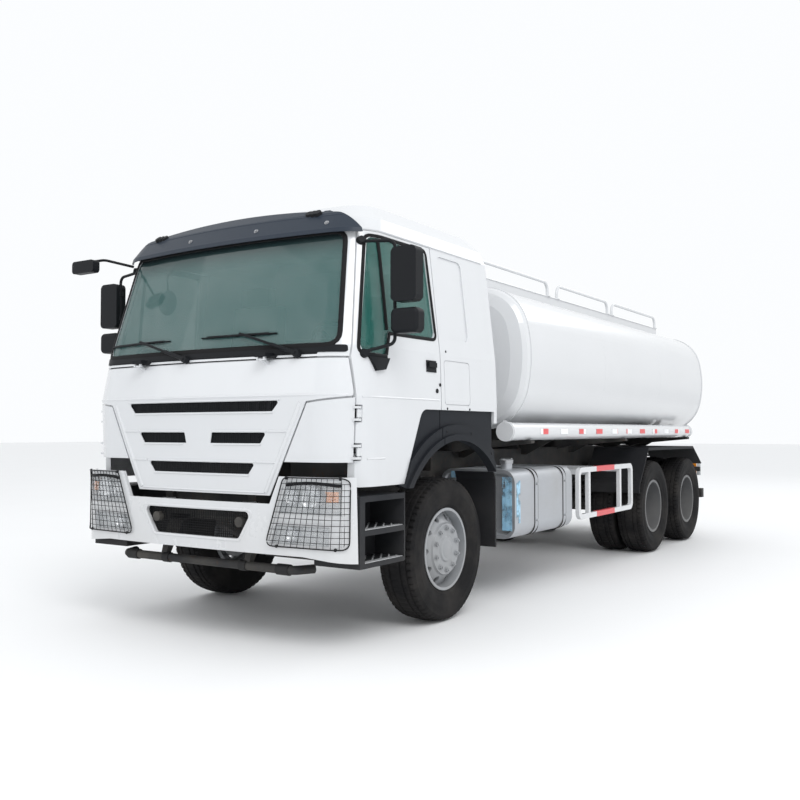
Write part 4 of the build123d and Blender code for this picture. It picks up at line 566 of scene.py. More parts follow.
# Half a tyre from bead to shoulder, (outwards, radius), with the ribs of its wall
TYRE_WALL = ((0.108, 0.291), (0.1095, 0.3), (0.124, 0.318), (0.1275, 0.324), (0.1265, 0.33),
             (0.139, 0.358), (0.1455, 0.385), (0.1485, 0.41), (0.1495, 0.414), (0.1488, 0.42),
             (0.1475, 0.446), (0.143, 0.47), (0.1445, 0.476), (0.1395, 0.487), (0.131, 0.5),
             (0.1265, 0.5065))
# Places across the tread: edges of the blocks and bottoms of the grooves
TREAD_PLACES = (0.119, 0.0985, 0.09, 0.082, 0.052, 0.044, 0.036, 0.012, 0.0, -0.012, -0.036,
                -0.044, -0.052, -0.082, -0.09, -0.0985, -0.119)


def tyre_row(phase):
    """One cross-section of a tyre; phase counts the four steps of a pitch of the tread."""
    wall = [(out, radius - 0.008 if phase == 0 and out < 0.135 and radius > 0.49 else radius)
            for out, radius in TYRE_WALL]
    tread = []
    for place in TREAD_PLACES:
        radius = CROWN - 0.012 * (abs(place) / TREAD_HALF) ** 2.4
        if place in GROOVES:
            radius -= 0.014
        elif phase == 0 and abs(place) > 0.095:
            radius -= 0.012
        elif phase == 2 and abs(place) < 0.085:
            radius -= 0.005
        tread.append((place, radius))
    return wall + tread + [(-out, radius) for out, radius in reversed(wall)]


def tyre_at(bm, x, y, side):
    """A treaded tyre: four grooves round it, cross cuts in the ribs and open shoulder lugs."""
    rings = []
    steps = PITCHES * 4
    for i in range(steps):
        a = 2 * math.pi * i / steps
        c, s = math.cos(a), math.sin(a)
        rings.append([bm.verts.new((x + side * out, y + r * c, HUB_Z + r * s))
                      for out, r in tyre_row(i % 4)])
    join_rings(bm, rings, True)


FRONT_TYRE = 1.015
TWIN_TYRES = (("inner", 0.748), ("outer", 1.082))
for label, side in SIDES:
    piece = solid(f"treaded_tyre_front_{label}", lambda bm: tyre_at(bm, side * FRONT_TYRE, FRONT_Y, side),
                  TYRE, f"wheel_front_{label}", 34)
    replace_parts(piece, f"tyre_front_{label}")
    for place, y in (("drive", DRIVE_Y), ("tail", TAIL_Y)):
        for row, x in TWIN_TYRES:
            piece = solid(f"treaded_tyre_{place}_{row}_{label}",
                          lambda bm: tyre_at(bm, side * x, y, side), TYRE,
                          f"wheels_{place}_{label}", 34)
            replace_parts(piece, f"tyres_{place}_{label}")


# Laying trim on the truck's panels
def dropped(tree, view, points, side=1):
    """Points seen from the front (x, z), a side (y, z) or above (x, y), dropped on a panel."""
    out = []
    for u, v in points:
        start, ray = {"front": ((u, -6, v), (0, 1, 0)), "side": ((side * 3, u, v), (-side, 0, 0)),
                      "above": ((u, v, 5), (0, 0, -1))}[view]
        ray = Vector(ray)
        hit, normal, _, _ = tree.ray_cast(Vector(start), ray)
        if hit is not None:
            out.append((hit, normal if normal.dot(ray) < 0 else -normal))
    return out


def stepped(points, step, closed=False):
    """A flat outline or line cut into short steps."""
    out = []
    pairs = list(zip(points, points[1:]))
    if closed:
        pairs.append((points[-1], points[0]))
    for (a, b), (c, d) in pairs:
        n = max(1, round(math.hypot(c - a, d - b) / step))
        out += [(a + (c - a) * i / n, b + (d - b) * i / n) for i in range(n)]
    return out if closed else out + [tuple(points[-1])]


def softened(points, radius):
    """A flat closed outline with rounded corners."""
    return [(p.x, p.y) for p in rounded([(u, v, 0) for u, v in points], radius)]


def strip(bm, path, width, height, closed=False, sink=0.002, crown=0.7):
    """A moulding of low section laid along (place, normal) pairs."""
    section = ((-0.5, -sink), (-0.5 * crown - 0.05, height * 0.8), (-0.5 * crown + 0.1, height),
               (0.5 * crown - 0.1, height), (0.5 * crown + 0.05, height * 0.8), (0.5, -sink))
    places = [p for p, _ in path]
    rings = []
    for i, (p, n) in enumerate(path):
        before, after = neighbours(places, i, closed)
        across = (after - before).cross(n).normalized()
        rings.append([bm.verts.new(p + across * (u * width) + n * v) for u, v in section])
    join_rings(bm, rings, closed)


def trim(bm, tree, view, line, step, width, height, closed=False, side=1, back=0.0, **section):
    """A moulding laid on a panel along a line; a step of nought keeps the line's own points."""
    path = dropped(tree, view, stepped(line, step, closed) if step else line, side)
    strip(bm, [(p - n * back, n) for p, n in path], width, height, closed, **section)


def stud(bm, tree, view, place, sink, radius, height, sides, side=1, top=1.0):
    """A round or flat-sided stud on a panel, its foot sunk a little below the face."""
    for p, n in dropped(tree, view, [place], side):
        prism(bm, p - n * sink, n, radius, height, sides, top=top)


def within(corners, s, t):
    """A place in a four-cornered field: s across from the first corner, t down from the top."""
    (a, b), (c, d), (e, f), (g, h) = corners
    return ((a * (1 - s) + c * s) * (1 - t) + (g * (1 - s) + e * s) * t,
            (b * (1 - s) + d * s) * (1 - t) + (h * (1 - s) + f * s) * t)


def pad(bm, tree, view, corners, height, columns=6, rows=6, side=1, sink=0.002):
    """A thin plate over a four-cornered field, following the panel beneath it."""
    grid = [dropped(tree, view, [within(corners, i / columns, j / rows)
                                 for i in range(columns + 1)], side) for j in range(rows + 1)]
    if any(len(line) != columns + 1 for line in grid):
        return
    tops = [[bm.verts.new(p + n * height) for p, n in line] for line in grid]
    feet = [[bm.verts.new(p - n * sink) for p, n in line] for line in grid]
    for j in range(rows):
        for i in range(columns):
            for lay in (tops, feet):
                bm.faces.new((lay[j][i], lay[j][i + 1], lay[j + 1][i + 1], lay[j + 1][i]))
    edge = [(0, i) for i in range(columns)] + [(j, columns) for j in range(rows)]
    edge += [(rows, i) for i in range(columns, 0, -1)] + [(j, 0) for j in range(rows, 0, -1)]
    for (j, i), (m, k) in zip(edge, edge[1:] + edge[:1]):
        bm.faces.new((tops[j][i], feet[j][i], feet[m][k], tops[m][k]))


def both(points):
    """Half an outline with its mirror image."""
    return list(points) + [(-u, v) for u, v in reversed(points)]


def rel(distance):
    """Place along the truck from the front axle."""
    return FRONT_Y + distance


CAB_FACE = surface_of("cab_front", "windscreen", "cab_roof")
SCREEN_FACE = surface_of("windscreen")
LID_FACE = surface_of("grille_lid")
BUMPER_FACE = surface_of("bumper", "lamps")
VISOR_FACE = surface_of("sun_visor")
DOOR_FACE = surface_of("door_panel_left", "door_glass_left", "door_panel_right",
                       "door_glass_right")
SIDE_FACE = surface_of("cab_sides", "arch_panels", "cab_front")


# Front of the cab
@made_of(RUBBER, "cab", 50)
def windscreen_seal(bm):
    edge = softened(both(((0.985, 2.683), (1.08, 1.921))), 0.08)
    trim(bm, CAB_FACE, "front", edge, 0.05, 0.034, 0.007, True)


# Each wiper: blade ends, joint on the blade, pivot
WIPERS = (((-1.058, 2.003), (-0.342, 2.01), (-0.653, 2.014), (-0.13, 1.868)),
          ((-0.023, 2.01), (0.623, 2.012), (0.335, 2.016), (0.811, 1.868)))


@made_of(BLACK, "cab", 45)
def wiper_arms(bm):
    """Two wipers, each a blade on the glass, a cranked arm and its pivot under the screen."""
    for left, right, joint, post in WIPERS:
        blade = dropped(SCREEN_FACE, "front", stepped((left, right), 0.06))
        strip(bm, [(p + n * 0.002, n) for p, n in blade], 0.009, 0.012, sink=0.0)
        strip(bm, [(p + n * 0.016, n) for p, n in blade[1:-1]], 0.014, 0.006, sink=0.0)
        pivot = dropped(CAB_FACE, "front", [post])[0]
        middle = dropped(SCREEN_FACE, "front", [joint])[0]
        start = pivot[0] + pivot[1] * 0.03
        end = middle[0] + middle[1] * 0.032
        knee = start.lerp(end, 0.25) + pivot[1] * 0.012
        wire(bm, [start, knee, end], 0.009, 8)
        wire(bm, [start, start.lerp(end, 0.42)], 0.014, 10)
        wire(bm, [end, end - middle[1] * 0.018], 0.006, 8)
        prism(bm, pivot[0] + pivot[1] * 0.004, pivot[1], 0.03, 0.034, 18, top=0.8)


@made_of(BLACK, "cab", 40, 0.003)
def cowl_panel(bm):
    """Black panel under the windscreen, with a cover over each lid hinge."""
    pad(bm, CAB_FACE, "front", ((-1.04, 1.915), (0.97, 1.91), (0.94, 1.845), (-1.05, 1.845)),
        0.003, 48, 3)
    for x in (-0.58, 0.58):
        block(bm, (x - 0.046, rel(-1.392) - 0.014, 1.854), (x + 0.046, rel(-1.3), 1.882))


@made_of(BLACK, "cab", 45)
def kerb_mirror(bm):
    """Round mirror hung inside the windscreen, with its arm."""
    centre = Vector((-0.62, rel(-1.09), 2.33))
    turned(bm, centre, ((-0.012, 0.0), (-0.012, 0.06), (0.0, 0.09), (0.008, 0.094), (0.012, 0.09),
                        (0.012, 0.0)), 36, "Y")
    wire(bm, [centre + Vector((0, 0.006, 0.08)), centre + Vector((-0.03, 0.03, 0.2)),
              centre + Vector((-0.06, 0.16, 0.34))], 0.008, 10)


VISOR_PODS = ((-0.74, 2.825), (0.72, 2.825))
VISOR_BOLTS = ((-0.34, 2.745), (0.293, 2.745), (0.86, 2.745))


@made_of(BLACK, "cab")
def visor_marker_pods(bm):
    for place in VISOR_PODS:
        for p, n in dropped(VISOR_FACE, "front", [place]):
            for shift in (-0.035, 0.0, 0.035):
                prism(bm, p + Vector((shift, 0, 0)) - n * 0.004, n, 0.03, 0.02, 20, top=0.85)


@made_of(STEEL, "cab", 30)
def visor_bolts(bm):
    for place in VISOR_BOLTS:
        stud(bm, VISOR_FACE, "front", place, 0.002, 0.017, 0.004, 20)
        stud(bm, VISOR_FACE, "front", place, 0.0, 0.01, 0.009, 6)


@made_of(VISOR, "cab", 60)
def visor_crease(bm):
    line = ((-1.17, 2.8), (-0.6, 2.81), (0, 2.815), (0.6, 2.81), (1.17, 2.8))
    trim(bm, VISOR_FACE, "front", line, 0.06, 0.02, 0.003, crown=0.3)


@made_of(LID_PAINT, "front_lid", 60)
def lid_crease(bm):
    """Pressed lines across the lid's head, down both flanks and along its foot."""
    for line, step, width, height, crown in (
            (((-1.15, 1.607), (1.15, 1.607)), 0.06, 0.02, 0.005, 0.3),
            (((0.862, 1.56), (0.58, 0.99)), 0.04, 0.034, 0.007, 0.55),
            (((-0.862, 1.56), (-0.58, 0.99)), 0.04, 0.034, 0.007, 0.55),
            (((-0.57, 0.985), (0.57, 0.985)), 0.05, 0.016, 0.004, 0.4)):
        trim(bm, LID_FACE, "front", line, step, width, height, crown=crown)


# Slots of the lid: head, foot, half width at the head and at the foot
LID_SLOTS = ((1.574, 1.507, 0.706, 0.645), (1.371, 1.301, 0.594, 0.545),
             (1.172, 1.101, 0.497, 0.441))
MIDDLE_HEAD = LID_SLOTS[1][0]
MESH_PITCH = 0.016
MESH_WIRE = 0.0014


def behind_lid(head, foot):
    """The depth behind the lid's bowed face at a slot, for a place across the truck."""
    nose = dropped(LID_FACE, "front", [(0.001, (head + foot) / 2 + 0.06)])[0][0].y
    return lambda x: nose + x * x / 20


@made_of(BLACK, "front_lid", 0)
def lid_slot_mesh(bm):
    """Fine black wire behind each slot."""
    columns, rows = 24, 5
    for head, foot, wide, _ in LID_SLOTS:
        bow = behind_lid(head, foot)
        count = int(wide * 2 / MESH_PITCH)
        for i in range(count + 1):
            x = -wide + 2 * wide * i / count
            if abs(x) < 0.125 and head == MIDDLE_HEAD:
                continue
            y = bow(x) + 0.012
            block(bm, (x - MESH_WIRE, y, foot - 0.004), (x + MESH_WIRE, y + 0.003, head + 0.004))
        for j in range(1, rows):
            z = foot + (head - foot) * j / rows
            for i in range(columns):
                left = -wide + 2 * wide * i / columns
                right = left + 2 * wide / columns
                y = bow((left + right) / 2) + 0.013
                block(bm, (left, y, z - MESH_WIRE), (right + 0.001, y + 0.003, z + MESH_WIRE))


@made_of(BLACK, "front_lid", 0)
def lid_slot_painted_shade_sheets(bm):
    """Black sheets of painted shade behind each slot, standing for the dark inside of the lid and closing
    the view there.
    """
    for head, foot, wide, _ in LID_SLOTS:
        bow = behind_lid(head, foot)
        ends = [-wide + 2 * wide * i / 16 for i in range(17)]
        for left, right in zip(ends, ends[1:]):
            y = bow((left + right) / 2) + 0.0165
            block(bm, (left, y, foot - 0.012), (right + 0.002, y + 0.0015, head + 0.012))


@made_of(LID_PAINT, "front_lid", 60)
def lid_slot_lips(bm):
    """A rolled lip over the top edge of each slot and a ledge under it."""
    def lip(start, end, z):
        trim(bm, LID_FACE, "front", ((start, z), (end, z)), 0.05, 0.014, 0.006, crown=0.6)

    for head, foot, wide, narrow in LID_SLOTS:
        for half, z in ((wide + 0.004, head + 0.008), (narrow + 0.004, foot - 0.008)):
            split = head == MIDDLE_HEAD
            for start, end in ((-half, -0.14), (0.14, half)) if split else ((-half, half),):
                lip(start, end, z)
        if head < 1.5:
            flank = 0.58 + (head - 0.968) * 0.489
            for side in (1, -1):
                lip(side * (wide + 0.015), side * flank, head + 0.008)


# Bumper and lamps
OPENING = both(((0.502, 0.862), (0.387, 0.683)))


def bumper_nose():
    """How far forward the bumper's face stands above the opening."""
    return dropped(BUMPER_FACE, "front", [(0.0, 0.89)])[0][0].y


@made_of(PAINT, "chassis", 60)
def bumper_opening_frame(bm):
    middle = 0.7725
    edge = softened([(u * 1.035, middle + (v - middle) * 1.12) for u, v in OPENING], 0.035)
    trim(bm, BUMPER_FACE, "front", edge, 0.03, 0.02, 0.004, True, crown=0.5)


@made_of(BLACK, "chassis", 0)
def bumper_opening_mesh(bm):
    nose = bumper_nose() + 0.05
    for i in range(-30, 31):
        x = i * 0.017
        foot = 0.68 + max(0.0, (abs(x) - 0.38) / 0.115) * 0.18
        block(bm, (x - 0.0015, nose, foot), (x + 0.0015, nose + 0.004, 0.866))
    for j in range(12):
        z = 0.685 + j * 0.0165
        half = 0.38 + (z - 0.683) * 0.64
        block(bm, (-half, nose + 0.003, z - 0.0015), (half, nose + 0.007, z + 0.0015))


@made_of(FRAME_BLACK, "chassis", 40)
def tow_points(bm):
    for x in (-0.385, 0.385):
        turned(bm, (x, bumper_nose(), 0.79), ((0.012, 0.0), (0.012, 0.024), (0.018, 0.034),
                                              (0.075, 0.034), (0.075, 0.0)), 28, "Y")


LAMP_OUTLINE = ((0.775, 1.08), (1.18, 1.08), (1.18, 0.655), (0.625, 0.655))
# Lamp units in each housing, seen from the front: middle, height, radius
LAMP_BOWLS = ((0.962, 0.965, 0.078), (0.81, 0.965, 0.056), (0.8, 0.73, 0.048))


def lamp_field(side, places):
    """Places inside the lamp outline, given across from its inner edge and down from its top."""
    return [(side * x, z) for x, z in (within(LAMP_OUTLINE, u, v) for u, v in places)]


for label, side in SIDES:
    def lamp_pad(bm, places, height, columns, rows, sink):
        pad(bm, BUMPER_FACE, "front", lamp_field(side, places), height, columns, rows, sink=sink)

    def housing(bm):
        lamp_pad(bm, ((0, 0), (1, 0), (1, 1), (0, 1)), -0.05, 14, 10, 0.056)
        rim = lamp_field(side, ((0.02, 0.02), (0.98, 0.02), (0.98, 0.98), (0.02, 0.98)))
        trim(bm, BUMPER_FACE, "front", rim, 0.03, 0.018, 0.05, True, back=0.05, crown=0.9)

    def divider(bm):
        line = lamp_field(side, [(i / 12, 0.6) for i in range(13)])
        trim(bm, BUMPER_FACE, "front", line, 0, 0.075, 0.045, back=0.048, crown=0.95)
        lamp_pad(bm, ((0.83, 0.66), (0.98, 0.66), (0.98, 0.97), (0.83, 0.97)), -0.004, 6, 6, 0.045)

    def brow(bm):
        line = lamp_field(side, [(0.04 + 0.92 * i / 14, 0.085 - 0.035 * math.sin(math.pi * i / 14))
                                 for i in range(15)])
        trim(bm, BUMPER_FACE, "front", line, 0, 0.02, 0.008, back=0.006, crown=0.9)

    def bowls(bm):
        for x, z, radius in LAMP_BOWLS:
            p, n = dropped(BUMPER_FACE, "front", [(side * x, z)])[0]
            centre = Vector((side * x, p.y, z))
            turned(bm, centre, ((0.012, radius), (0.02, radius * 0.93), (0.034, radius * 0.7),
                                (0.043, radius * 0.35), (0.046, 0.004), (0.05, 0.004),
                                (0.05, radius * 1.02), (0.012, radius * 1.02)), 40, "Y")
            turned(bm, centre, ((0.03, 0.0), (0.03, radius * 0.2), (0.046, radius * 0.24),
                                (0.046, 0.0)), 20, "Y")

    def indicator(bm):
        lamp_pad(bm, ((0.74, 0.17), (0.93, 0.17), (0.93, 0.32), (0.76, 0.32)), -0.012, 8, 5, 0.03)

    def clear_cover(bm):
        for places in (((0.03, 0.03), (0.97, 0.03), (0.97, 0.5), (0.03, 0.5)),
                       ((0.05, 0.7), (0.82, 0.7), (0.82, 0.95), (0.05, 0.95))):
            lamp_pad(bm, places, -0.003, 14, 8, 0.007)

    for name, build, finish in (("lamp_housing", housing, PAINT), ("lamp_divider", divider, PAINT),
                                ("lamp_brow", brow, BLACK), ("lamp_bowls", bowls, CHROME),
                                ("front_indicator", indicator, AMBER),
                                ("lamp_cover", clear_cover, CLEAR)):
        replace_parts(solid(f"{name}_{label}", build, finish, "chassis"), "lamps")


# Wire guards: corners of the frame, wires each way, thickness of frame and wires
GUARD = ((0.77, 1.091), (1.2, 1.091), (1.2, 0.656), (0.617, 0.656))
GUARD_WIRES = 12
GUARD_FRAME = 0.0042
GUARD_WIRE = 0.0021


def guard_wires(bm):
    """Welded wire grid within a round frame, held off the lamp on four clips."""
    def bent(line, step, back, radius, sides, closed=False):
        path = dropped(BUMPER_FACE, "front", stepped(line, step, closed))
        wire(bm, [p + n * back for p, n in path], radius, sides, closed)

    for side in (1, -1):
        bent(softened([(side * x, z) for x, z in GUARD], 0.045), 0.03, 0.012, GUARD_FRAME, 8, True)
        for i in range(1, GUARD_WIRES):
            s = i / GUARD_WIRES
            bent(((side * (0.77 + 0.43 * s), 1.09), (side * (0.617 + 0.583 * s), 0.657)),
                 0.06, 0.0115, GUARD_WIRE, 6)
        for j in range(1, GUARD_WIRES):
            t = j / GUARD_WIRES
            z = 1.091 - 0.435 * t
            bent(((side * (0.77 - 0.153 * t), z), (side * 1.2, z)), 0.06, 0.0145, GUARD_WIRE, 6)
        for x, z in ((0.79, 1.088), (1.16, 1.088), (0.7, 0.656), (1.13, 0.656)):
            stud(bm, BUMPER_FACE, "front", (side * x, z), 0.003, 0.012, 0.014, 10, top=0.8)


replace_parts(solid("lamp_guard_wires", guard_wires, BLACK, "chassis", 50), "lamp_guards")


# Doors
WINDOW = ((rel(-1.14), 1.88), (rel(-0.945), 2.65), (rel(-0.29), 2.65), (rel(-0.262), 2.035),
          (rel(-0.85), 2.03), (rel(-0.875), 1.875))
MIRROR_HEADS = ((1.4, 2.375, 0.19, 0.35), (1.4, 2.08, 0.205, 0.16))
MIRROR_Y = rel(-0.945) + 0.045
MIRROR_RIM = 0.016
for label, side in SIDES:
    skin = surface_of(f"door_panel_{label}")

    def on_door(bm, line, width, height, step=0.05, tree=skin, **how):
        trim(bm, tree, "side", line, step, width, height, side=side, **how)

    def window_seal(bm):
        grown = [(u + (0.012 if u > rel(-0.5) else -0.012), v + (0.012 if v > 2.3 else -0.012))
                 for u, v in WINDOW]
        on_door(bm, softened(grown, 0.05), 0.026, 0.005, closed=True)

    def quarter_bar(bm):
        on_door(bm, ((rel(-0.86), 2.04), (rel(-0.86), 2.64)), 0.026, 0.014, 0.06, DOOR_FACE, sink=0.0)

    def handle(bm):
        pad(bm, skin, "side", ((rel(-0.408), 1.872), (rel(-0.278), 1.872), (rel(-0.278), 1.79),
                               (rel(-0.408), 1.79)), 0.005, 8, 6, side)
        centre = dropped(skin, "side", [(rel(-0.343), 1.838)], side)[0][0]
        block(bm, centre + Vector((-0.004, -0.052, -0.014)),
              centre + Vector((0.004, 0.052, 0.02)) + Vector((side * 0.016, 0, 0)))
        for y, z, size in ((-0.229, 1.706, 0.012), (-0.273, 1.662, 0.016)):
            stud(bm, skin, "side", (rel(y), z), 0.001, size, 0.006, 20, side)

    def door_crease(bm):
        for start, end, z in ((-1.15, -0.25, 1.597), (-1.15, -0.92, 1.205)):
            on_door(bm, ((rel(start), z), (rel(end), z)), 0.016, 0.004, crown=0.3)

    def belt_moulding(bm):
        on_door(bm, ((rel(-1.13), 1.862), (rel(-0.9), 1.862)), 0.03, 0.012)

    def mirror_feet(bm):
        pad(bm, skin, "side", ((rel(-1.085), 1.85), (rel(-0.885), 1.85), (rel(-0.935), 1.775),
                               (rel(-1.03), 1.762)), 0.022, 8, 5, side)
        for y, z in ((rel(-1.11), 1.87), (rel(-0.985), 2.62)):
            stud(bm, DOOR_FACE, "side", (y, z), 0.003, 0.032, 0.03, 18, side, 0.7)

    def mirror_glasses(bm):
        for x, z, wide, high in MIRROR_HEADS:
            u, v = wide / 2 - MIRROR_RIM, high / 2 - MIRROR_RIM
            edge = softened([(side * x - u, z - v), (side * x + u, z - v),
                             (side * x + u, z + v), (side * x - u, z + v)], 0.03)
            sheets = [[bm.verts.new((a, MIRROR_Y + back, b)) for a, b in edge]
                      for back in (0.003, -0.001)]
            join_rings(bm, sheets, False)

    def mirror_clamps(bm):
        for x, z, wide, high in MIRROR_HEADS:
            for dz in (-high * 0.28, high * 0.28):
                turned(bm, (side * 1.31, rel(-0.945), z + dz),
                       ((-0.016, 0.011), (-0.016, 0.019), (0.016, 0.019), (0.016, 0.011)),
                       20, "Z")

    def door_lining(bm):
        """Lining with an armrest and pull."""
        inside = side * 1.15
        block(bm, (inside - 0.012, rel(-1.1), 1.42), (inside + 0.012, rel(-0.3), 1.8))
        block(bm, (inside - side * 0.05 - 0.03, rel(-0.8), 1.66),
              (inside - side * 0.02 + 0.01, rel(-0.4), 1.71))

    for name, build, finish, smooth, bevel in (
            ("window_seal", window_seal, RUBBER, 50, 0), ("quarter_bar", quarter_bar, RUBBER, 50, 0),
            ("door_handle", handle, BLACK, 40, 0), ("door_crease", door_crease, PAINT, 60, 0),
            ("belt_moulding", belt_moulding, BLACK, 50, 0), ("mirror_feet", mirror_feet, BLACK, 40, 0),
            ("mirror_glass", mirror_glasses, MIRROR, 30, 0),
            ("mirror_clamps", mirror_clamps, BLACK, 40, 0),
            ("door_lining", door_lining, GUARD_GREY, 30, 0.006)):
        solid(f"{name}_{label}", build, finish, f"door_{label}", smooth, bevel)


# Cab sides, arch trim and steps
@made_of(PAINT, "cab", 50)
def roof_drip_rails(bm):
    roof_side = surface_of("cab_roof", "cab_sides", "cab_front")
    for _, side in SIDES:
        trim(bm, roof_side, "side", ((rel(-1.0), 2.7), (rel(0.56), 2.7)), 0.06, 0.014, 0.01,
             side=side, crown=0.5)


@made_of(BLACK, "cab", 30)
def cab_side_plugs(bm):
    for _, side in SIDES:
        for y, z in ((rel(-0.13), 1.95), (rel(-0.13), 1.54), (rel(0.2), 1.54)):
            stud(bm, SIDE_FACE, "side", (y, z), 0.001, 0.009, 0.003, 12, side)


@made_of(BLACK, "cab", 40)
def arch_screws(bm):
    """Screws along the rear part of each arch's lip."""
    for label, side in SIDES:
        tree = surface_of("arch_panels", f"door_arch_{label}")
        for angle in (28, 52, 76, 100, 124):
            a = math.radians(angle)
            y, z = rel(0.868 * math.cos(a)), HUB_Z + 0.868 * math.sin(a)
            if z <= 1.5 and y > rel(-0.2):
                stud(bm, tree, "side", (y, z), 0.001, 0.012, 0.004, 16, side, 0.8)


# Treads of the cab steps: height and inner edge
STEPS = ((0.56, 1.0), (0.765, 0.96))


@made_of(STEEL, "chassis", 40)
def step_studs(bm):
    for _, side in SIDES:
        for z, inner in STEPS:
            for k in range(5):
                y = rel(-1.15 + 0.095 * k)
                for j in range(int((1.225 - inner) / 0.03)):
                    x = side * (inner + 0.025 + j * 0.03)
                    prism(bm, (x, y + (j % 2) * 0.045, z), (0, 0, 1), 0.009, 0.004, 8, top=0.7)


@made_of(TANK_PAINT, "chassis", 30, 0.0015)
def step_edge_strips(bm):
    for _, side in SIDES:
        for z, _ in STEPS:
            block(bm, (side * 1.2 - 0.025, rel(-1.162), z - 0.001),
                  (side * 1.2 + 0.025, rel(-0.725), z + 0.0035))


# Wheels
def nuts(bm, x, y, side, out, pitch, count, size, cap):
    """Wheel nuts on their pitch circle with washers and stud ends."""
    for i in range(count):
        a = 2 * math.pi * (i + 0.5) / count
        p = Vector((x + side * out, y + pitch * math.cos(a), HUB_Z + pitch * math.sin(a)))
        n = Vector((side, 0, 0))
        prism(bm, p - n * 0.001, n, size * 1.35, 0.004, 18)
        prism(bm, p + n * 0.002, n, size, 0.017, 6, a)
        prism(bm, p + n * 0.015, n, size * 0.55, 0.014, 12, 0, 0.85)
    turned(bm, (x, y, HUB_Z), cap, 40, "X", side)


FRONT_CAP = ((0.126, 0.001), (0.136, 0.001), (0.134, 0.05), (0.128, 0.066), (0.122, 0.066))
REAR_CAP = ((0.128, 0.001), (0.15, 0.001), (0.15, 0.04), (0.145, 0.052), (0.142, 0.09),
            (0.128, 0.096))
NUTS = 10
NUT = 0.0165
TWIN_MIDDLE = 0.915


def valve(bm, x, y, side, out, radius):
    """Bent tyre valve beside the hub."""
    start = Vector((x + side * out, y + radius, HUB_Z))
    wire(bm, [start, start + Vector((side * 0.03, 0.004, 0)), start + Vector((side * 0.05, -0.01, 0))],
         0.004, 8)


def hub_bolts(bm, y, side):
    for i in range(8):
        a = i * math.pi / 4
        prism(bm, (side * (TWIN_MIDDLE + 0.148), y + 0.074 * math.cos(a), HUB_Z + 0.074 * math.sin(a)),
              (side, 0, 0), 0.008, 0.008, 6)


for label, side in SIDES:
    body = f"wheel_front_{label}"
    x = side * FRONT_TYRE
    solid(f"wheel_nuts_front_{label}",
          lambda bm: nuts(bm, x, FRONT_Y, side, 0.118, 0.152, NUTS, NUT, FRONT_CAP), SILVER, body, 40)
    solid(f"tyre_valve_front_{label}", lambda bm: valve(bm, x, FRONT_Y, side, 0.03, 0.245),
          STEEL, body, 40)
    x = side * TWIN_MIDDLE
    for place, y in (("drive", DRIVE_Y), ("tail", TAIL_Y)):
        body = f"wheels_{place}_{label}"
        # Rear wheel nuts share the rear rims' darker grey, painted shade of the deep dish
        solid(f"wheel_nuts_{place}_{label}",
              lambda bm: nuts(bm, x, y, side, 0.012, 0.155, NUTS, NUT, REAR_CAP), RIM_GREY_WITH_PAINTED_SHADE, body, 40)
        solid(f"hub_bolts_{place}_{label}", lambda bm: hub_bolts(bm, y, side), STEEL, body, 40)


# Flanks: front edges of the fuel tank's straps from the front axle, middles of rails and tubes
STRAPS = (1.385, 1.99)
GUARD_RAIL_X = 1.214
GUARD_RAIL_Z = (0.572, 1.011)
HOSE_X = 1.13
HOSE_Z = 1.376


@made_of(STEEL, "chassis", 35)
def fuel_tank_fittings(bm):
    turned(bm, (1.04, rel(1.17), 1.105), ((0.0, 0.0), (0.0, 0.055), (0.03, 0.058),
                                         (0.038, 0.05), (0.038, 0.0)), 28, "Z")
    block(bm, (0.99, rel(1.16), 1.143), (1.09, rel(1.18), 1.152))
    for strap in STRAPS:
        for z in (0.62, 0.93):
            prism(bm, (1.205, rel(strap) + 0.027, z), (1, 0, 0), 0.012, 0.012, 6)
    prism(bm, (0.7, rel(1.6), 1.06), (0, 0, 1), 0.035, 0.012, 8)


@made_of(RUBBER, "chassis", 0)
def fuel_tank_strap_rubber(bm):
    """Ribbed rubber under each strap shows as a dark line on both sides of it."""
    cord = ((-0.004, -0.004), (0.004, -0.004), (0.004, 0.004), (-0.004, 0.004))
    for strap in STRAPS:
        for y in (rel(strap) - 0.004, rel(strap + 0.055) + 0.004):
            line = rounded([Vector((x, y, z)) for x, z in
                            ((0.5, 0.49), (1.2, 0.49), (1.2, 1.06), (0.5, 1.06))], 0.11, 10)
            sweep(bm, line, cord, True, Vector((0, 1, 0)))


@made_of(FILM, "chassis", 0)
def fuel_tank_film(bm):
    """Thin sheets with a slight wave on the fuel tank's front head, and one strip on its side."""
    y = rel(1.0) - 0.0015
    for x0, x1, z0, z1 in ((1.085, 1.175, 0.56, 1.0), (0.6, 0.72, 0.985, 1.04),
                           (0.62, 0.9, 0.505, 0.535)):
        for i in range(6):
            a = x0 + (x1 - x0) * i / 6
            b = x0 + (x1 - x0) * (i + 1) / 6
            wave = 0.002 * math.sin(i * 2.1)
            block(bm, (a, y - 0.001 + wave, z0), (b, y + 0.0005 + wave, z1))
    block(bm, (1.2, rel(1.03), 0.62), (1.2015, rel(1.1), 0.97))


@made_of(RED_TAPE, "chassis", 0)
def side_guard_red_marks(bm):
    """Red sections wrapped round the side guard's rails."""
    for side in (1, -1):
        x = side * GUARD_RAIL_X
        for z in GUARD_RAIL_Z:
            block(bm, (x - 0.0195, rel(2.75), z - 0.0255), (x + 0.0195, rel(3.24), z + 0.0255))


@made_of(TAPE, "chassis", 0)
def flank_reflectors(bm):
    """Reflective tape, red and white in turn, along the hose tubes."""
    for side in (1, -1):
        for i in range(11):
            y = rel(1.5 + 0.44 * i)
            block(bm, (side * 1.2065 - 0.0015, y, 1.352), (side * 1.2065 + 0.0015, y + 0.16, 1.4))


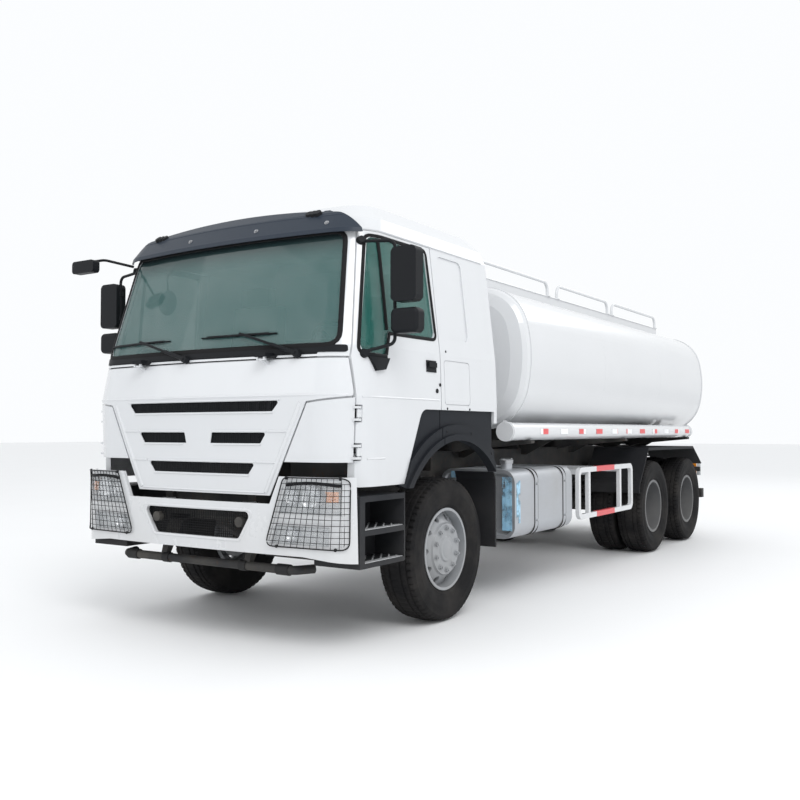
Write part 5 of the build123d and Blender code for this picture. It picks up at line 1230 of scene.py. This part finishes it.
# Lenses of each tail lamp: colour, finish, inner and outer edge
for name, finish, inner, outer in (("red", RED, 0.94, 1.035), ("amber", AMBER, 1.04, 1.095),
                                   ("white", WHITE_LENS, 1.1, 1.15)):
    def tail_lens(bm):
        for side in (1, -1):
            low, high = sorted((side * inner, side * outer))
            block(bm, (low, rel(6.8) - 0.002, 0.78), (high, rel(6.8) + 0.012, 0.95))

    solid(f"tail_lens_{name}", tail_lens, finish, "chassis", 0, 0.004)


# Tank and walkway
BARREL_Z = 2.015
COAMING_X = 0.614
COAMING_TOP = 2.78
MANHOLE = Vector((0, rel(3.9), 2.824))
# Both ends of each hand rail hoop, from the front axle
HOOPS = ((1.345, 2.985), (3.225, 4.73), (4.88, 6.545))


@made_of(TANK_PAINT, "chassis", 40)
def hose_tube_caps(bm):
    for side in (1, -1):
        for y, out in ((rel(0.97), -1), (rel(6.19), 1)):
            x = side * HOSE_X
            turned(bm, (x, y, HOSE_Z), ((0.0, 0.0), (0.0, 0.079), (0.006, 0.082),
                                        (0.012, 0.079), (0.012, 0.0)), 36, "Y", out)
            block(bm, (x - 0.012, y + out * 0.01 - 0.006, 1.44),
                  (x + 0.012, y + out * 0.01 + 0.006, 1.468))


@made_of(TANK_PAINT, "chassis", 60)
def barrel_weld_seams(bm):
    """Rolled weld beads round the barrel where its sheets meet."""
    tree = surface_of("tank_barrel")
    for station in (3.05, 4.85):
        line = []
        for i in range(72):
            a = 2 * math.pi * i / 72
            far = Vector((3 * math.cos(a), rel(station), BARREL_Z + 3 * math.sin(a)))
            ray = Vector((0, rel(station), BARREL_Z)) - far
            hit, normal, _, _ = tree.ray_cast(far, ray.normalized())
            if hit is not None:
                line.append((hit, normal if normal.dot(ray) < 0 else -normal))
        strip(bm, line, 0.012, 0.0015, True, crown=0.4)


@made_of(TANK_PAINT, "chassis", 60)
def walkway_treads(bm):
    """Raised bars across the walkway on both sides of the manhole."""
    tree = surface_of("tank_barrel")
    for start, stop in ((1.36, 3.56), (4.28, 6.56)):
        for i in range(int((stop - start) / 0.06)):
            y = rel(start + 0.06 * i)
            trim(bm, tree, "above", ((-0.59, y), (0.59, y)), 0.2, 0.012, 0.004, crown=0.5)


@made_of(STEEL, "manhole_lid", 40)
def manhole_bolts(bm):
    for i in range(6):
        a = math.pi / 6 + i * math.pi / 3
        p = MANHOLE + Vector((0.28 * math.cos(a), 0.28 * math.sin(a), 0))
        prism(bm, p, (0, 0, 1), 0.016, 0.02, 6, a)
        prism(bm, p, (0, 0, 1), 0.008, 0.04, 10)


@made_of(TANK_PAINT, "chassis", 40)
def curb_lip_and_hoop_feet(bm):
    """A lip along the coaming's top edge and a collar round each foot of the hoops."""
    for side in (1, -1):
        line = [(Vector((side * COAMING_X, rel(y), COAMING_TOP)), Vector((0, 0, 1)))
                for y in (1.31, 3.0, 5.0, 6.6)]
        strip(bm, line, 0.03, 0.004, crown=0.8)
    for ends in HOOPS:
        for y in ends:
            for side in (1, -1):
                turned(bm, (side * COAMING_X, rel(y), COAMING_TOP),
                       ((0.0, 0.016), (0.0, 0.034), (0.006, 0.034), (0.012, 0.02), (0.012, 0.016)),
                       24, "Z")


# Chassis
@made_of(FRAME_BLACK, "chassis", 40)
def brake_chambers(bm):
    for side in (1, -1):
        for y in (FRONT_Y, DRIVE_Y, TAIL_Y):
            x = side * (0.54 if y == FRONT_Y else 0.45)
            start = y + (0.08 if y == FRONT_Y else 0.17)
            turned(bm, (x, start, 0.62), ((0.0, 0.0), (0.0, 0.06), (0.02, 0.085),
                   (0.08, 0.085), (0.085, 0.092), (0.095, 0.092), (0.1, 0.085), (0.15, 0.07),
                   (0.15, 0.0)), 28, "Y")
            block(bm, (x - 0.03, start - 0.13, 0.57), (x + 0.03, start + 0.01, 0.63))


@made_of(FRAME_BLACK, "chassis", 40)
def shock_absorbers(bm):
    for side in (1, -1):
        low = Vector((side * 0.50, FRONT_Y - 0.06, 0.55))
        high = Vector((side * 0.452, FRONT_Y - 0.18, 0.98))
        middle = low.lerp(high, 0.5)
        wire(bm, [low, middle], 0.034, 16)
        wire(bm, [middle, high], 0.026, 16)


@made_of(CAST, "chassis", 40)
def rail_bolts(bm):
    for side in (1, -1):
        for i in range(34):
            y = rel(-0.9 + 0.21 * i)
            for z in (0.8, 0.99):
                prism(bm, (side * 0.4248, y, z), (side, 0, 0), 0.012, 0.01, 6)


@made_of(CAST, "chassis", 40)
def spring_clamps(bm):
    for side in (1, -1):
        for dy in (-0.09, 0.09):
            x = side * 0.385
            wire(bm, [(x - 0.05, FRONT_Y + dy, 0.42), (x - 0.05, FRONT_Y + dy, 0.565),
                      (x + 0.05, FRONT_Y + dy, 0.565), (x + 0.05, FRONT_Y + dy, 0.42)], 0.01, 8)


@made_of(CAST, "chassis", 40)
def shaft_joints(bm):
    for y, z in ((rel(1.43), 0.696), (rel(4.22), 0.547)):
        turned(bm, (0, y, z), ((-0.05, 0.0), (-0.05, 0.066), (-0.03, 0.078), (0.03, 0.078),
                               (0.05, 0.066), (0.05, 0.0)), 28, "Y")
        block(bm, (-0.075, y - 0.02, z - 0.02), (0.075, y + 0.02, z + 0.02))


@made_of(BLACK, "chassis", 40)
def underrun_sleeves(bm):
    for side in (1, -1):
        for x, half, radius in ((0.7, 0.05, 0.036), (0.36, 0.03, 0.035)):
            turned(bm, (side * x, rel(-1.3), 0.5), ((-half, 0.0), (-half, radius), (half, radius),
                                                   (half, 0.0)), 28, "X", side)


# Cab interior
LEVER_FOOT = (0.2, rel(-0.45), 1.68)
LEVER_KNOB = (0.215, rel(-0.5), 1.93)


@made_of(BLACK, "cab", 30, 0.004)
def dash_details(bm):
    block(bm, (0.5, rel(-1.06), 1.93), (0.92, rel(-0.95), 1.985))
    for x in (-0.9, -0.3, 0.3, 1.0):
        block(bm, (x - 0.06, rel(-0.908), 1.78), (x + 0.06, rel(-0.893), 1.84))
    block(bm, (-0.2, rel(-0.915), 1.69), (0.2, rel(-0.897), 1.77))


@made_of(CLOTH, "cab", 30, 0.01)
def seat_details(bm):
    for side in (1, -1):
        x = side * 0.72
        wire(bm, [(x + 0.23, rel(-0.06), 1.75), (x + 0.235, rel(-0.03), 1.95)], 0.012, 8)
        block(bm, (x - 0.15, rel(-0.02), 2.43), (x + 0.15, rel(0.08), 2.58))


@made_of(BLACK, "cab", 40)
def gear_lever(bm):
    wire(bm, [LEVER_FOOT, (0.21, rel(-0.47), 1.8), LEVER_KNOB], 0.009, 10)
    turned(bm, LEVER_KNOB, ((-0.02, 0.0), (-0.016, 0.02), (0.0, 0.028), (0.02, 0.024), (0.03, 0.0)),
           20, "Z")
    turned(bm, LEVER_FOOT, ((0.0, 0.0), (0.0, 0.06), (0.05, 0.03), (0.07, 0.014), (0.07, 0.0)),
           24, "Z")
